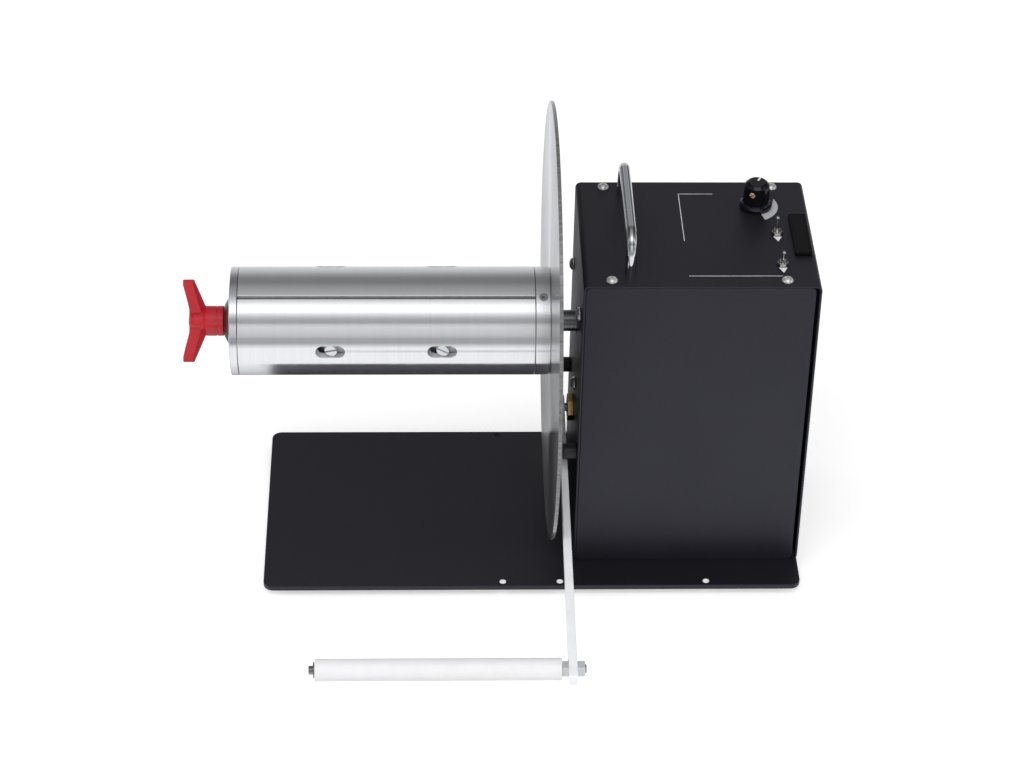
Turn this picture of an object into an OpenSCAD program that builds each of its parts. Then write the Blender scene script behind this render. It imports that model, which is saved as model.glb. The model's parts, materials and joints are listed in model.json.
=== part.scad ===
// Powered label unwinder: a drive box on a base plate, an expanding core chuck and a dancer arm.
// Millimetres. X runs along the spindle, Z is up, and the origin is the middle of the base plate's
// footprint on the table.

/* [Base plate] */
// Length of the base plate along the spindle
base_l = 380; // [360:1:420]
// Depth of the base plate from front to back
base_w = 180; // [170:1:220]
// Thickness of the base plate
base_t = 4; // [3:0.5:6]
// Corner radius of the base plate
base_corner_r = 7; // [3:0.5:12]
// Diameter of the bench screw holes
bench_hole_d = 4.8; // [3.5:0.1:6]
// Distance of the bench holes from the plate's front and back edges
bench_hole_edge = 4.5; // [4:0.5:8]
// Pitch of the outer bench holes along the plate
bench_pitch = 144; // [120:1:160]
// Place of the bench hole pattern's middle along the plate
bench_mid_x = 51; // [45:1:55]
// Place of the single hole between the outer bench holes
bench_extra_x = 19.4; // [15:0.1:25]
// Diameter of a rubber foot
foot_d = 16; // [12:0.5:22]
// Height of a rubber foot
foot_h = 5; // [4:0.5:10]
// Distance of a foot's middle from the plate's edges
foot_inset = 18; // [15:0.5:20]

/* [Housing] */
// Length of the housing along the spindle
house_l = 160; // [156:1:172]
// Depth of the housing from front to back
house_w = 130; // [126:1:140]
// Height of the housing above the base plate
house_h = 236.5; // [228:0.5:260]
// Place of the housing's middle behind the plate's middle
house_y = 3; // [0:0.5:8]
// Thickness of the sheet metal
sheet_t = 1.5; // [1.5:0.1:2.5]
// Outer radius of the wrap's bends
bend_r = 4; // [3.5:0.1:5]
// Gap between a panel and the wrap's side walls
panel_gap = 2.4; // [2.2:0.1:3]
// Depth of a panel's flanges
panel_flange = 11.5; // [11:0.5:14]
// Outer radius of a panel's bends
panel_bend_r = 3; // [2.8:0.1:4]
// Width of the wrap's bottom flanges
foot_flange = 14; // [12:0.5:16]
// Inset of the top screws from the left wall
top_screw_left = 19; // [16:0.5:24]
// Inset of the top screws from the right wall
top_screw_right = 23; // [16:0.5:24]
// Inset of the top screws from the front and back edges
top_screw_y = 7; // [6.5:0.1:7.5]
// Diameter of a top screw's head
top_head_d = 8; // [7.5:0.1:10]

/* [Carry handle] */
// Diameter of the handle's rod
handle_rod_d = 7.5; // [7:0.5:9]
// Gap between the handle's screws and the panels' flanges
handle_air = 0.5; // [0.5:0.5:15]
// Height of the handle above the housing
handle_h = 30; // [28:0.5:50]
// Bend radius at the middle of the rod
handle_bend_r = 12; // [9:0.5:14]
// Place of the handle from the housing's left wall
handle_in = 32; // [32:0.5:40]

/* [Controls] */
// Diameter of the torque knob's body at its top
knob_d = 17; // [15:0.5:19]
// Diameter of the torque knob's skirt
skirt_d = 22.5; // [20:0.5:24]
// Height of the torque knob
knob_h = 19; // [15:0.5:22]
// Place of the torque knob from the housing's right wall
knob_in = 36; // [32:0.5:40]
// Place of the torque knob from the housing's back edge
knob_back = 31; // [26:0.5:32]
// Place of the toggle switches from the housing's right wall
toggle_in = 24.5; // [22:0.5:27]
// Place of the first toggle from the housing's middle
toggle_1_y = -0.5; // [-2:0.5:6]
// Distance between the toggles
toggle_pitch = 38; // [30:0.5:42]
// Tilt of a toggle lever either side of upright
toggle_tilt = 13; // [10:0.5:14]
// Length of a toggle lever from its pivot
lever_l = 13; // [11:0.5:16]
// Length of the blank badge
badge_l = 52; // [40:1:60]
// Width of the blank badge
badge_w = 11.5; // [10:0.5:13]
// Thickness of the blank badge
badge_t = 2.5; // [1.5:0.1:4]

/* [Spindle] */
// Gap between the flange disc and the base plate
disc_lift = 10.5; // [8:0.5:13]
// Diameter of the spindle between disc and wall
spindle_d = 15; // [14:0.5:16]
// Diameter of the spindle's journals
journal_d = 12; // [10:0.5:12.5]
// Outer diameter of the ball bearings
bearing_od = 32; // [30:0.5:34]
// Width of a ball bearing
bearing_w = 10; // [9:0.5:11]
// Radial wall of a bearing ring
ring_wall = 2.5; // [2:0.1:2.8]
// Bolt circle of the bearing housing's screws
bearing_pcd = 98; // [94:0.5:100]
// Diameter of a bearing screw's head
bearing_head_d = 8; // [7:0.1:9]

/* [Flange disc] */
// Diameter of the flange disc
disc_d = 306; // [290:1:312]
// Thickness of the flange disc
disc_t = 2.5; // [2:0.1:4]
// Gap between the disc and the housing wall
disc_gap = 16.5; // [15.5:0.1:19]

/* [Chuck] */
// Diameter of the chuck at mid throw
chuck_d = 75.8; // [74:0.1:76.5]
// Wall of a chuck segment
segment_wall = 5.5; // [5:0.1:6]
// Length of the chuck's segments
segment_l = 205.4; // [196:0.2:230]
// Length of the chuck's rear ring
ring_l = 10.5; // [8:0.5:14]
// Length of the chuck's end cap
cap_l = 5; // [5:0.1:9]
// Length of the cone on the end cap
cap_cone_l = 5; // [3:0.1:5]
// Width of the splits between the segments
split_w = 2.2; // [2.2:0.1:3]
// Distance of the first slot row from the disc
slot_first = 73.5; // [70:0.5:84]
// Distance between the slot rows
slot_pitch = 77; // [70:0.5:84]
// Length of a segment slot
slot_l = 20; // [20:0.1:22]
// Width of a segment slot
slot_w = 9.6; // [9.3:0.1:10.5]
// Diameter of a segment screw's head
slot_head_d = 8.9; // [8:0.1:9.1]
// Travel of the expander either side of the middle
expander_throw = 5; // [4:0.1:5.2]
// Rise of the expander's ramps for each unit along them
ramp_rise = 0.21; // [0.18:0.01:0.22]
// Outer diameter of the mandrel
mandrel_d = 26; // [24:0.5:28]

/* [Wing knob] */
// Diameter of the wing knob's hub
hub_d = 21; // [18:0.5:24]
// Length of the wing knob's hub
hub_l = 12.3; // [11:0.1:16]
// Distance from wing tip to wing tip
wing_span = 57.5; // [50:0.5:66]
// Width of a wing at its tip
wing_w = 8.4; // [7:0.1:10]
// Thickness of a wing
wing_t = 7.6; // [6:0.1:10]
// How far the wing tips reach past the hub's end
wing_reach = 16.7; // [12:0.1:20]
// Turn of the wings from the front, upwards
wing_turn = 125; // [0:1:180]

/* [Dancer arm] */
// Length of the arm from its pivot to the roller's axis
arm_l = 230.8; // [225:0.2:236]
// Height of the arm's bar
arm_h = 10; // [9:0.5:12]
// Thickness of the arm's bar
arm_t = 6; // [5:0.1:6.5]
// Gap between the arm and the housing wall
arm_gap = 5.6; // [5.2:0.1:6]
// Length of the bar past the roller's axis
arm_tail = 8; // [6:0.5:12]
// Distance of the arm's pivot below the spindle's axis
pivot_drop = 75.5; // [72:0.5:80]
// Diameter of the pivot shaft
pivot_d = 6; // [5:0.1:7]
// Diameter of a stop post
post_d = 11; // [9:0.5:13]
// Length of a stop post
post_l = 9.5; // [9:0.1:10.5]
// Distance of each stop post from the pivot
post_reach = 52; // [48:0.5:54]

/* [Guide roller] */
// Diameter of the guide roller
roller_d = 15; // [12:0.5:18]
// Length of the guide roller
roller_l = 163.4; // [140:0.2:200]
// Gap between the roller and the arm
roller_gap = 4.3; // [4:0.1:6]
// Diameter of the roller's axle
axle_d = 6; // [5:0.1:6.5]

/* [Drive] */
// Height of the motor's axis above the base plate
motor_h = 43; // [40:0.5:46]
// Diameter of the gearbox
gearbox_d = 44; // [40:0.5:48]
// Diameter of the motor
motor_d = 38; // [34:0.5:40]
// Diameter of the spindle pulley
big_pulley_d = 54; // [48:0.5:56]
// Diameter of the motor pulley
small_pulley_d = 18; // [16:0.5:20]
// Width of the belt
belt_w = 8; // [6:0.5:9]
// Thickness of the belt
belt_t = 1.5; // [1:0.1:2]

/* [Fits] */
// Radial gap of a running fit
running_gap = 0.05; // [0.02:0.01:0.1]
// Radial gap round a seated piece
seat_gap = 0.03; // [0.02:0.01:0.05]
// Gap between faces that slide past each other
slide_gap = 0.3; // [0.2:0.05:0.4]
// Gap between the expander's ramps and the segments
ramp_gap = 0.2; // [0.1:0.05:0.3]

/* [Hidden] */
$fn = 64;

// A small overlap that lets a cut run clear through a face
cut = 1;

// Levels
plate_z = foot_h + base_t;
top_z = plate_z + house_h;
under_z = top_z - sheet_t;
spindle_z = plate_z + disc_lift + disc_d / 2;
pivot_z = spindle_z - pivot_drop;
motor_z = plate_z + motor_h;

// Housing walls
wall_x = base_l / 2 - house_l;
right_x = base_l / 2;
inner_x = wall_x + sheet_t;
inner_right_x = right_x - sheet_t;
front_y = house_y - house_w / 2;
back_y = house_y + house_w / 2;

// Screws by thread size: shank, head, head height and socket
m3_d = 3;
m4_d = 4;
screw_gap = 0.15;
button_h = 2.6;
button_socket = 2.5;
button_socket_h = 1.6;
button_taper = 0.62;
pan_h = 2.5;
top_screw_l = 10;
csk_head_d = 7.6;
csk_l = 7.5;
csk_socket_h = 1.8;
foot_taper = 2;
grip_l = 10;

// Panels
panel_x = inner_x + panel_gap;
panel_w = house_l - 2 * sheet_t - 2 * panel_gap;
panel_h = house_h - sheet_t;
panel_screw_span = 90;
wrap_screw_span = 80;
bracket_screw_span = 40;

// Bearing stack, from the wall inwards
flange_t = 6;
flange_core_d = 70;
lobe_r = 7;
lobe_web = 2 * lobe_r - 2;
lobe_angles = [260, 20, 140];
barrel_d = bearing_od + 14;
bearing_air = 2;
bearing_span = 32;
bearing_x = [inner_x + bearing_air, inner_x + bearing_air + bearing_span];
barrel_end_x = bearing_x[1] + bearing_w + bearing_air;
wall_hole_d = spindle_d + 5;
ball_gap = 0.12;
ball_d = (bearing_od - journal_d) / 2 - 2 * ring_wall - 2 * ball_gap;
ball_pitch_r = (bearing_od + journal_d) / 4;
ball_count = 8;

// Disc and chuck along the spindle, from the wall to the left
disc_back_x = wall_x - disc_gap;
disc_face_x = disc_back_x - disc_t;
ring_x = disc_face_x - ring_l;
segment_x = ring_x - segment_l;
cap_x = segment_x - cap_l;
nose_x = cap_x - cap_cone_l;
spigot_l = 22;
spigot_x = ring_x - spigot_l;
cap_spigot_d = mandrel_d - 6;
cap_cone_d = chuck_d - 8;
cap_nose_d = hub_d + 3;
set_screw_d = 6;
set_screw_angle = 60;
set_screw_sink = 0.8;
set_screw_socket = 3;

// Ramps, slots and segment screws
slot_x = [disc_face_x - slot_first, disc_face_x - slot_first - slot_pitch];
segment_angles = [0, 120, 240];
ramp_a = atan(ramp_rise);
head_h = 2.6;
head_sink = 1.3;
head_gap = 0.2;
ledge_t = 3.2;
ledge_w = ramp_gap + ledge_t;
shank_d = m4_d;
shank_slot_w = shank_d + 0.8;
shank_slot_l = shank_slot_w + 2 * expander_throw / cos(ramp_a) + 0.4;
ramp_r = chuck_d / 2 - head_sink - head_h - head_gap - ledge_w;
pad_half_l = 14;
pad_w = 18;
ramp_half_l = 10;
ramp_w = 14;
ramp_space_half_l = pad_half_l + expander_throw + 2;
segment_inner_r = chuck_d / 2 - segment_wall;
expander_d = mandrel_d + 10;
expander_end = 12;
driver_slot_w = 1.2;
driver_slot_h = 1.1;
shank_in = 7.5;
shank_spare = 0.5;
wedge_root = 1;
pad_h = 7;
pad_clear = 2;

// Draw screw and its nut
draw_d = 8;
draw_nut_d = 14.6;
draw_bore_d = draw_nut_d + 0.5;
draw_nut_l = 14;
draw_collar_l = 4;
nut_x = (slot_x[0] + slot_x[1]) / 2;
pin_d = 5;
pin_slot_l = pin_d + 2 * expander_throw + 1.4;
pin_slot_w = pin_d + 0.6;
pin_in_r = draw_d / 2 + 1;
pin_back = 0.2;
draw_end_x = nut_x + draw_nut_l + expander_throw;

// Wing knob
hub_x = nose_x - slide_gap;
hub_end_x = hub_x - hub_l;
hub_groove_x = 4;
hub_groove_w = 1.6;
hub_groove_d = 0.9;
hub_chamfer = 3;
wing_root_s = hub_d / 2 - 4;
wing_set = 1;
wing_heel = 3;

// Drive
pulley_x = barrel_end_x + 4;
pulley_rim = 1;
pulley_l = belt_w + 2 * pulley_rim + 1;
rim_h = 2;
hub_neck_d = journal_d + 2 * ring_wall - 0.6;
spindle_end_x = pulley_x + pulley_l + 3;
belt_x = pulley_x + pulley_rim + 0.5;
belt_gap = 0.3;
arc_steps = 40;
bracket_x = spindle_end_x + 3;
bracket_t = 3;
bracket_w = gearbox_d + 16;
bracket_foot = 20;
gearbox_l = 26;
motor_clear = 10;
motor_l = inner_right_x - motor_clear - bracket_x - bracket_t - gearbox_l;
motor_shaft_d = 6;
motor_shaft_x = pulley_x - 2;
motor_shaft_in = 12;
motor_screw_pcd = 31;
motor_screw_in = 5;
tap_spare = 1.5;
bracket_top = 2;
bracket_clear = 4;
belt_slant = asin((big_pulley_d - small_pulley_d) / 2 / (spindle_z - motor_z));

// Control board on the right wall
board_y = 90;
board_z = 86;
board_t = 1.6;
board_off = 6;
board_mid_z = spindle_z - 6;
board_x = inner_right_x - board_off - board_t;
board_hole_in = 5;
standoff_d = 7;
can_d = 12.5;
can_h = 20;
can_y = -20;
can_zs = [-12, 12];
connector = [9, 12, 10];
connector_ys = [-34, -18];
connector_z = -38;
relay = [15, 22, 24];
relay_place = [10, 4];
heat_sink = [8, 26, 12];
heat_sink_place = [8, -24];

// Controls on the top
handle_x = wall_x + handle_in;
handle_span = back_y - front_y - 2 * (panel_flange + m4_d + handle_air);
knob_x = right_x - knob_in;
knob_y = back_y - knob_back;
toggle_x = right_x - toggle_in;
toggle_ys = [house_y + toggle_1_y, house_y + toggle_1_y - toggle_pitch];
pot_d = 16.5;
pot_l = 9;
pot_bush_d = 7;
pot_bush_h = 5;
pot_nut_af = 10;
pot_shaft_d = 6;
pot_shaft_h = 16;
pot_shaft_in = 8;
knob_lift = 0.4;
knob_taper = 1.6;
knob_edge = 1;
skirt_taper = 1;
knob_screw_back = 0.2;
knob_skirt_h = 3.2;
knob_recess_d = 14;
knob_recess_h = 6;
knob_screw_h = 13.2;
knob_screw_turn = 26;
nut_t = 2;
toggle_body = [8, 13, 9];
toggle_bush_d = 6;
toggle_bush_h = 3.2;
toggle_bore_d = 5.2;
toggle_nut_af = 7.2;
toggle_pivot_h = 0.5;
lever_ball_d = 3.8;
lever_pin_d = 1.6;
lever_pin_l = 4.2;
lever_root_d = 2;
lever_tip_d = 3.2;
badge_edge = 3;
badge_rim = 0.6;
badge_step = 0.6;
badge_corner_r = 1;
badge_mid_y = house_y - 4.5;

// Power inlet on the rear panel
inlet_x = right_x - 32;
inlet_z = plate_z + 32;
inlet_d = 11;
inlet_flange_d = 15;
inlet_flange_t = 2;
inlet_l = 14;
inlet_bore_d = 5.6;
inlet_pin_d = 2;
inlet_floor = 2;

// Dancer arm, its pivot and the roller
arm_x = wall_x - arm_gap - arm_t;
arm_rest = asin((post_d / 2 + arm_h / 2 + slide_gap) / post_reach);
arm_boss_d = 17;
bush_thread_d = 12;
pivot_nut_l = 4.5;
pivot_nut_af = 17;
bush_flange_d = 20;
bush_flange_t = 3;
bush_end_x = inner_x + bush_flange_t + 5;
spring_l = 13;
spring_x = bush_end_x + slide_gap;
spring_d = 12;
spring_bore_d = pivot_d + 2;
collar_x = spring_x + spring_l;
collar_d = 14;
collar_l = 4;
sensor_x = collar_x + collar_l + 2;
sensor_l = 14;
sensor_w = 31;
sensor_h = 28;
sensor_leg = [5, 10];
pivot_end_x = sensor_x + 10;
stud_d = 4;
stud_l = panel_gap - 0.4;
roller_end_x = arm_x - roller_gap;
roller_x = roller_end_x - roller_l;
roller_mouth_d = axle_d + 4;
roller_mouth_l = 3;
clip_t = 0.8;
clip_d = axle_d + 5;
axle_nut_af = axle_d + 4;
axle_nut_l = 5;
axle_out = 3;
axle_proud = 1;

// Places of the screws that hold the housing and the motor bracket to the base plate
base_screw_places = concat(
    [for (x = [inner_x + foot_flange / 2, inner_right_x - foot_flange / 2], s = [-1, 1])
        [x, house_y + s * wrap_screw_span / 2]],
    [for (y = [front_y + top_screw_y, back_y - top_screw_y], s = [-1, 1])
        [(wall_x + right_x) / 2 + s * panel_screw_span / 2, y]],
    [for (s = [-1, 1])
        [bracket_x + bracket_t + bracket_foot / 2, house_y + s * bracket_screw_span / 2]]
);
top_screw_places = [
    for (x = [wall_x + top_screw_left, right_x - top_screw_right],
         y = [front_y + top_screw_y, back_y - top_screw_y]) [x, y]
];

// Shared shapes

// A rectangle with round corners, centred
module rounded_rect(l, w, r) {
    square([l - 2 * r, w], center = true);
    square([l, w - 2 * r], center = true);
    for (x = [-1, 1], y = [-1, 1])
        translate([x * (l / 2 - r), y * (w / 2 - r)]) circle(r);
}

// A slot with round ends, centred, its length along X
module stadium(l, w) {
    square([l - w, w], center = true);
    for (s = [-1, 1])
        translate([s * (l - w) / 2, 0]) circle(d = w);
}

// A rod along X from x0 to x1
module rod_x(x0, x1, d) {
    translate([x0, 0, 0]) rotate([0, 90, 0]) cylinder(d = d, h = x1 - x0);
}

// A tube along X from x0 to x1
module tube_x(x0, x1, d, bore) {
    difference() {
        rod_x(x0, x1, d);
        rod_x(x0 - cut, x1 + cut, bore);
    }
}

// A cone along X, from d0 at x0 to d1 at x1
module cone_x(x0, x1, d0, d1) {
    translate([x0, 0, 0]) rotate([0, 90, 0]) cylinder(d1 = d0, d2 = d1, h = x1 - x0);
}

// A hexagonal bar along X, by its width across flats
module hex_x(x0, x1, af) {
    translate([x0, 0, 0]) rotate([0, 90, 0]) cylinder(d = af / cos(30), h = x1 - x0, $fn = 6);
}

// Children on the spindle's axis
module on_spindle() {
    translate([0, house_y, spindle_z]) children();
}

// Children on the arm's pivot
module on_pivot() {
    translate([0, house_y, pivot_z]) children();
}

// Children on the motor's axis
module on_motor() {
    translate([0, house_y, motor_z]) children();
}

// Children on the roller's axis, with the arm at rest
module on_roller() {
    on_pivot() rotate([arm_rest, 0, 0]) translate([0, -arm_l, 0]) children();
}

// A button-head screw along Z, its head's seat at z = 0 and its shank below
module button_screw(head_d, shank, shank_l) {
    difference() {
        union() {
            cylinder(d = head_d, h = button_h / 2);
            translate([0, 0, button_h / 2])
                cylinder(d1 = head_d, d2 = head_d * button_taper, h = button_h / 2);
            translate([0, 0, -shank_l]) cylinder(d = shank, h = shank_l);
        }
        translate([0, 0, button_h - button_socket_h])
            cylinder(d = button_socket / cos(30), h = button_socket_h + cut, $fn = 6);
    }
}

// A countersunk screw along Z, its head flush at z = 0 and its shank above, grown by a gap
module csk_screw(gap) {
    sink = (csk_head_d - m4_d) / 2;
    cylinder(d1 = csk_head_d + 2 * gap, d2 = m4_d + 2 * gap, h = sink);
    cylinder(d = m4_d + 2 * gap, h = csk_l + (gap > 0 ? cut : 0));
}

// Base

module base_plate() {
    color([0.14, 0.14, 0.15]) difference() {
        translate([0, 0, foot_h]) linear_extrude(base_t) rounded_rect(base_l, base_w, base_corner_r);
        for (x = [bench_mid_x - bench_pitch / 2, bench_extra_x, bench_mid_x + bench_pitch / 2], s = [-1, 1])
            translate([x, s * (base_w / 2 - bench_hole_edge), foot_h - cut])
                cylinder(d = bench_hole_d, h = base_t + 2 * cut);
        for (p = base_screw_places)
            translate([p[0], p[1], foot_h]) csk_screw(screw_gap);
    }
}

module rubber_feet() {
    color([0.08, 0.08, 0.08])
        for (x = [-1, 1], y = [-1, 1])
            translate([x * (base_l / 2 - foot_inset), y * (base_w / 2 - foot_inset), 0])
                cylinder(d1 = foot_d - foot_taper, d2 = foot_d, h = foot_h);
}

module base_screws() {
    color([0.6, 0.6, 0.62])
        for (p = base_screw_places)
            translate([p[0], p[1], foot_h]) difference() {
                csk_screw(0);
                translate([0, 0, -cut])
                    cylinder(d = button_socket / cos(30), h = cut + csk_socket_h, $fn = 6);
            }
}

// Housing

module housing_wrap() {
    notch_w = panel_flange + 1;
    color([0.16, 0.16, 0.17]) difference() {
        translate([(wall_x + right_x) / 2, back_y, plate_z + house_h / 2])
            rotate([90, 0, 0]) linear_extrude(house_w) difference() {
                rounded_rect(house_l, house_h, bend_r);
                rounded_rect(house_l - 2 * sheet_t, house_h - 2 * sheet_t, bend_r - sheet_t);
                translate([0, -house_h / 2])
                    square([house_l - 2 * sheet_t - 2 * foot_flange, 3 * sheet_t], center = true);
            }
        for (y = [front_y - cut, back_y - notch_w])
            translate([inner_x, y, plate_z - cut])
                cube([inner_right_x - inner_x, notch_w + cut, bend_r + cut]);
        wall_holes();
        top_holes();
        for (p = base_screw_places)
            translate([p[0], p[1], foot_h]) csk_screw(seat_gap);
    }
}

// Holes through the left wall: spindle, bearing screws, pivot bush and post studs
module wall_holes() {
    x0 = wall_x - cut;
    x1 = inner_x + cut;
    on_spindle() {
        rod_x(x0, x1, wall_hole_d);
        for (a = lobe_angles)
            rotate([a, 0, 0]) translate([0, bearing_pcd / 2, 0]) rod_x(x0, x1, m4_d + 2 * screw_gap);
    }
    on_pivot() {
        rod_x(x0, x1, bush_thread_d + 2 * screw_gap);
        for (s = [-1, 1])
            translate([0, s * post_reach, 0]) rod_x(x0, x1, stud_d + 2 * seat_gap);
    }
}

// Holes through the top sheet: top screws, handle screws, potentiometer and toggles
module top_holes() {
    translate([0, 0, under_z - cut]) linear_extrude(sheet_t + 2 * cut) {
        for (p = top_screw_places)
            translate(p) circle(d = m4_d + 2 * screw_gap);
        for (s = [-1, 1])
            translate([handle_x, house_y + s * handle_span / 2]) circle(d = m4_d + 2 * screw_gap);
        translate([knob_x, knob_y]) circle(d = pot_bush_d + 2 * screw_gap);
        for (y = toggle_ys)
            translate([toggle_x, y]) circle(d = toggle_bush_d + 2 * screw_gap);
    }
}

// A block with its front edges rounded: front face at y = 0, depth along +Y
module pan_block(w, h, d, r) {
    intersection() {
        rotate([90, 0, 90]) linear_extrude(w) front_rounded(d, h, r);
        linear_extrude(h) mirror([1, -1, 0]) front_rounded(d, w, r);
    }
}

// A rectangle d by h whose two corners on the near side, x = 0, are rounded
module front_rounded(d, h, r) {
    translate([r, 0]) square([d - r, h]);
    translate([0, r]) square([d, h - 2 * r]);
    for (y = [r, h - r])
        translate([r, y]) circle(r);
}

// A folded panel with flanges all round, its face at the housing's front
module pan() {
    difference() {
        translate([panel_x, front_y, plate_z]) pan_block(panel_w, panel_h, panel_flange, panel_bend_r);
        translate([panel_x + sheet_t, front_y + sheet_t, plate_z + sheet_t])
            pan_block(panel_w - 2 * sheet_t, panel_h - 2 * sheet_t, panel_flange, panel_bend_r - sheet_t);
        for (p = top_screw_places)
            translate([p[0], p[1], under_z - 2 * sheet_t])
                cylinder(d = m4_d + 2 * seat_gap, h = 3 * sheet_t);
        for (p = base_screw_places)
            translate([p[0], p[1], foot_h]) csk_screw(seat_gap);
    }
}

module front_panel() {
    color([0.19, 0.19, 0.2]) pan();
}

module rear_panel() {
    color([0.19, 0.19, 0.2]) difference() {
        translate([0, 2 * house_y, 0]) mirror([0, 1, 0]) pan();
        translate([inlet_x, back_y + cut, inlet_z]) rotate([90, 0, 0])
            cylinder(d = inlet_d + 2 * screw_gap, h = sheet_t + 2 * cut);
    }
}

module top_screws() {
    color([0.8, 0.8, 0.82])
        for (p = top_screw_places)
            translate([p[0], p[1], top_z]) button_screw(top_head_d, m4_d, top_screw_l);
}

module carry_handle() {
    bar_z = handle_h - handle_rod_d / 2;
    half = handle_span / 2;
    color([0.85, 0.85, 0.87]) translate([handle_x, house_y, top_z]) difference() {
        union() {
            for (s = [-1, 1]) {
                translate([0, s * half, 0]) cylinder(d = handle_rod_d, h = bar_z - handle_bend_r);
                translate([0, s * (half - handle_bend_r), bar_z - handle_bend_r])
                    rotate([90, 0, 90]) rotate([0, 0, s > 0 ? 0 : 90])
                        rotate_extrude(angle = 90) translate([handle_bend_r, 0]) circle(d = handle_rod_d);
            }
            translate([0, half - handle_bend_r, bar_z]) rotate([90, 0, 0])
                cylinder(d = handle_rod_d, h = handle_span - 2 * handle_bend_r);
        }
        for (s = [-1, 1])
            translate([0, s * half, -cut]) cylinder(d = m4_d + 2 * seat_gap, h = grip_l + 2 * cut);
    }
}

module handle_screws() {
    color([0.6, 0.6, 0.62])
        for (s = [-1, 1])
            translate([handle_x, house_y + s * handle_span / 2, under_z - pan_h]) {
                cylinder(d = 2 * m4_d, h = pan_h);
                cylinder(d = m4_d, h = pan_h + sheet_t + grip_l);
            }
}

module blank_badge() {
    color([0.05, 0.05, 0.05])
        translate([right_x - badge_edge - badge_w / 2, badge_mid_y, top_z]) {
            linear_extrude(badge_t * badge_rim) rounded_rect(badge_w, badge_l, badge_corner_r);
            linear_extrude(badge_t)
                rounded_rect(badge_w - 2 * badge_step, badge_l - 2 * badge_step, badge_corner_r);
        }
}

// Spindle bearings

// The bearing housing's flange with its three lobes, seen along X
module flange_outline() {
    circle(d = flange_core_d);
    for (a = lobe_angles)
        rotate(a) {
            translate([0, -lobe_web / 2]) square([bearing_pcd / 2, lobe_web]);
            translate([bearing_pcd / 2, 0]) circle(lobe_r);
        }
}

module bearing_housing() {
    seat = bearing_od + 2 * seat_gap;
    color([0.7, 0.7, 0.72]) on_spindle() difference() {
        union() {
            translate([inner_x, 0, 0]) rotate([90, 0, 90]) linear_extrude(flange_t) flange_outline();
            rod_x(inner_x + flange_t / 2, barrel_end_x, barrel_d);
        }
        rod_x(inner_x - cut, barrel_end_x + cut, bearing_od - 2 * ring_wall);
        rod_x(inner_x - cut, bearing_x[0] + bearing_w, seat);
        rod_x(bearing_x[1], barrel_end_x + cut, seat);
        for (a = lobe_angles)
            rotate([a, 0, 0]) translate([0, bearing_pcd / 2, 0])
                rod_x(inner_x - cut, inner_x + flange_t + cut, m4_d + 2 * seat_gap);
    }
}

module bearing_screws() {
    color([0.8, 0.8, 0.82]) on_spindle()
        for (a = lobe_angles)
            rotate([a, 0, 0]) translate([wall_x, bearing_pcd / 2, 0]) rotate([0, -90, 0])
                button_screw(bearing_head_d, m4_d, sheet_t + flange_t);
}

module bearing_outer_rings() {
    color([0.75, 0.75, 0.77]) on_spindle()
        for (x = bearing_x)
            tube_x(x, x + bearing_w, bearing_od, bearing_od - 2 * ring_wall);
}

module bearing_inner_rings() {
    color([0.75, 0.75, 0.77]) on_spindle()
        for (x = bearing_x)
            tube_x(x, x + bearing_w, journal_d + 2 * ring_wall, journal_d + 2 * seat_gap);
}

module bearing_balls() {
    color([0.8, 0.8, 0.82]) on_spindle()
        for (x = bearing_x, i = [0 : ball_count - 1])
            rotate([i * 360 / ball_count, 0, 0])
                translate([x + bearing_w / 2, ball_pitch_r, 0]) sphere(d = ball_d);
}

module spindle() {
    color([0.6, 0.6, 0.62]) on_spindle() {
        rod_x(spigot_x, disc_back_x, journal_d);
        rod_x(disc_back_x, bearing_x[0], spindle_d);
        rod_x(bearing_x[0], spindle_end_x, journal_d);
    }
}

// Drive train inside the housing

// A flanged pulley along X on the belt's line
module pulley(d, bore) {
    difference() {
        union() {
            rod_x(pulley_x, pulley_x + pulley_l, d);
            for (x = [pulley_x, pulley_x + pulley_l - pulley_rim])
                rod_x(x, x + pulley_rim, d + 2 * rim_h);
            children();
        }
        rod_x(bearing_x[1], spindle_end_x + cut, bore + 2 * seat_gap);
    }
}

module spindle_pulley() {
    color([0.5, 0.5, 0.53]) on_spindle()
        pulley(big_pulley_d, journal_d) rod_x(bearing_x[1] + bearing_w, pulley_x + cut, hub_neck_d);
}

module motor_pulley() {
    color([0.5, 0.5, 0.53]) on_motor() pulley(small_pulley_d, motor_shaft_d);
}

module motor_shaft() {
    color([0.6, 0.6, 0.62]) on_motor()
        rod_x(motor_shaft_x, bracket_x + bracket_t + motor_shaft_in, motor_shaft_d);
}

// Points along an arc from angle a0 to a1
function arc(y, z, r, a0, a1) =
    [for (i = [0 : arc_steps]) let (t = a0 + (a1 - a0) * i / arc_steps) [y + r * cos(t), z + r * sin(t)]];

// The filled outline of a band round both pulleys, grown by a gap, seen along X
module belt_outline(gap) {
    polygon(concat(
        arc(house_y, spindle_z, big_pulley_d / 2 + gap, -belt_slant, 180 + belt_slant),
        arc(house_y, motor_z, small_pulley_d / 2 + gap, 180 + belt_slant, 360 - belt_slant)
    ));
}

module drive_belt() {
    color([0.1, 0.1, 0.1]) translate([belt_x, 0, 0]) rotate([90, 0, 90]) linear_extrude(belt_w)
        difference() {
            belt_outline(belt_gap + belt_t);
            belt_outline(belt_gap);
        }
}

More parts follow.
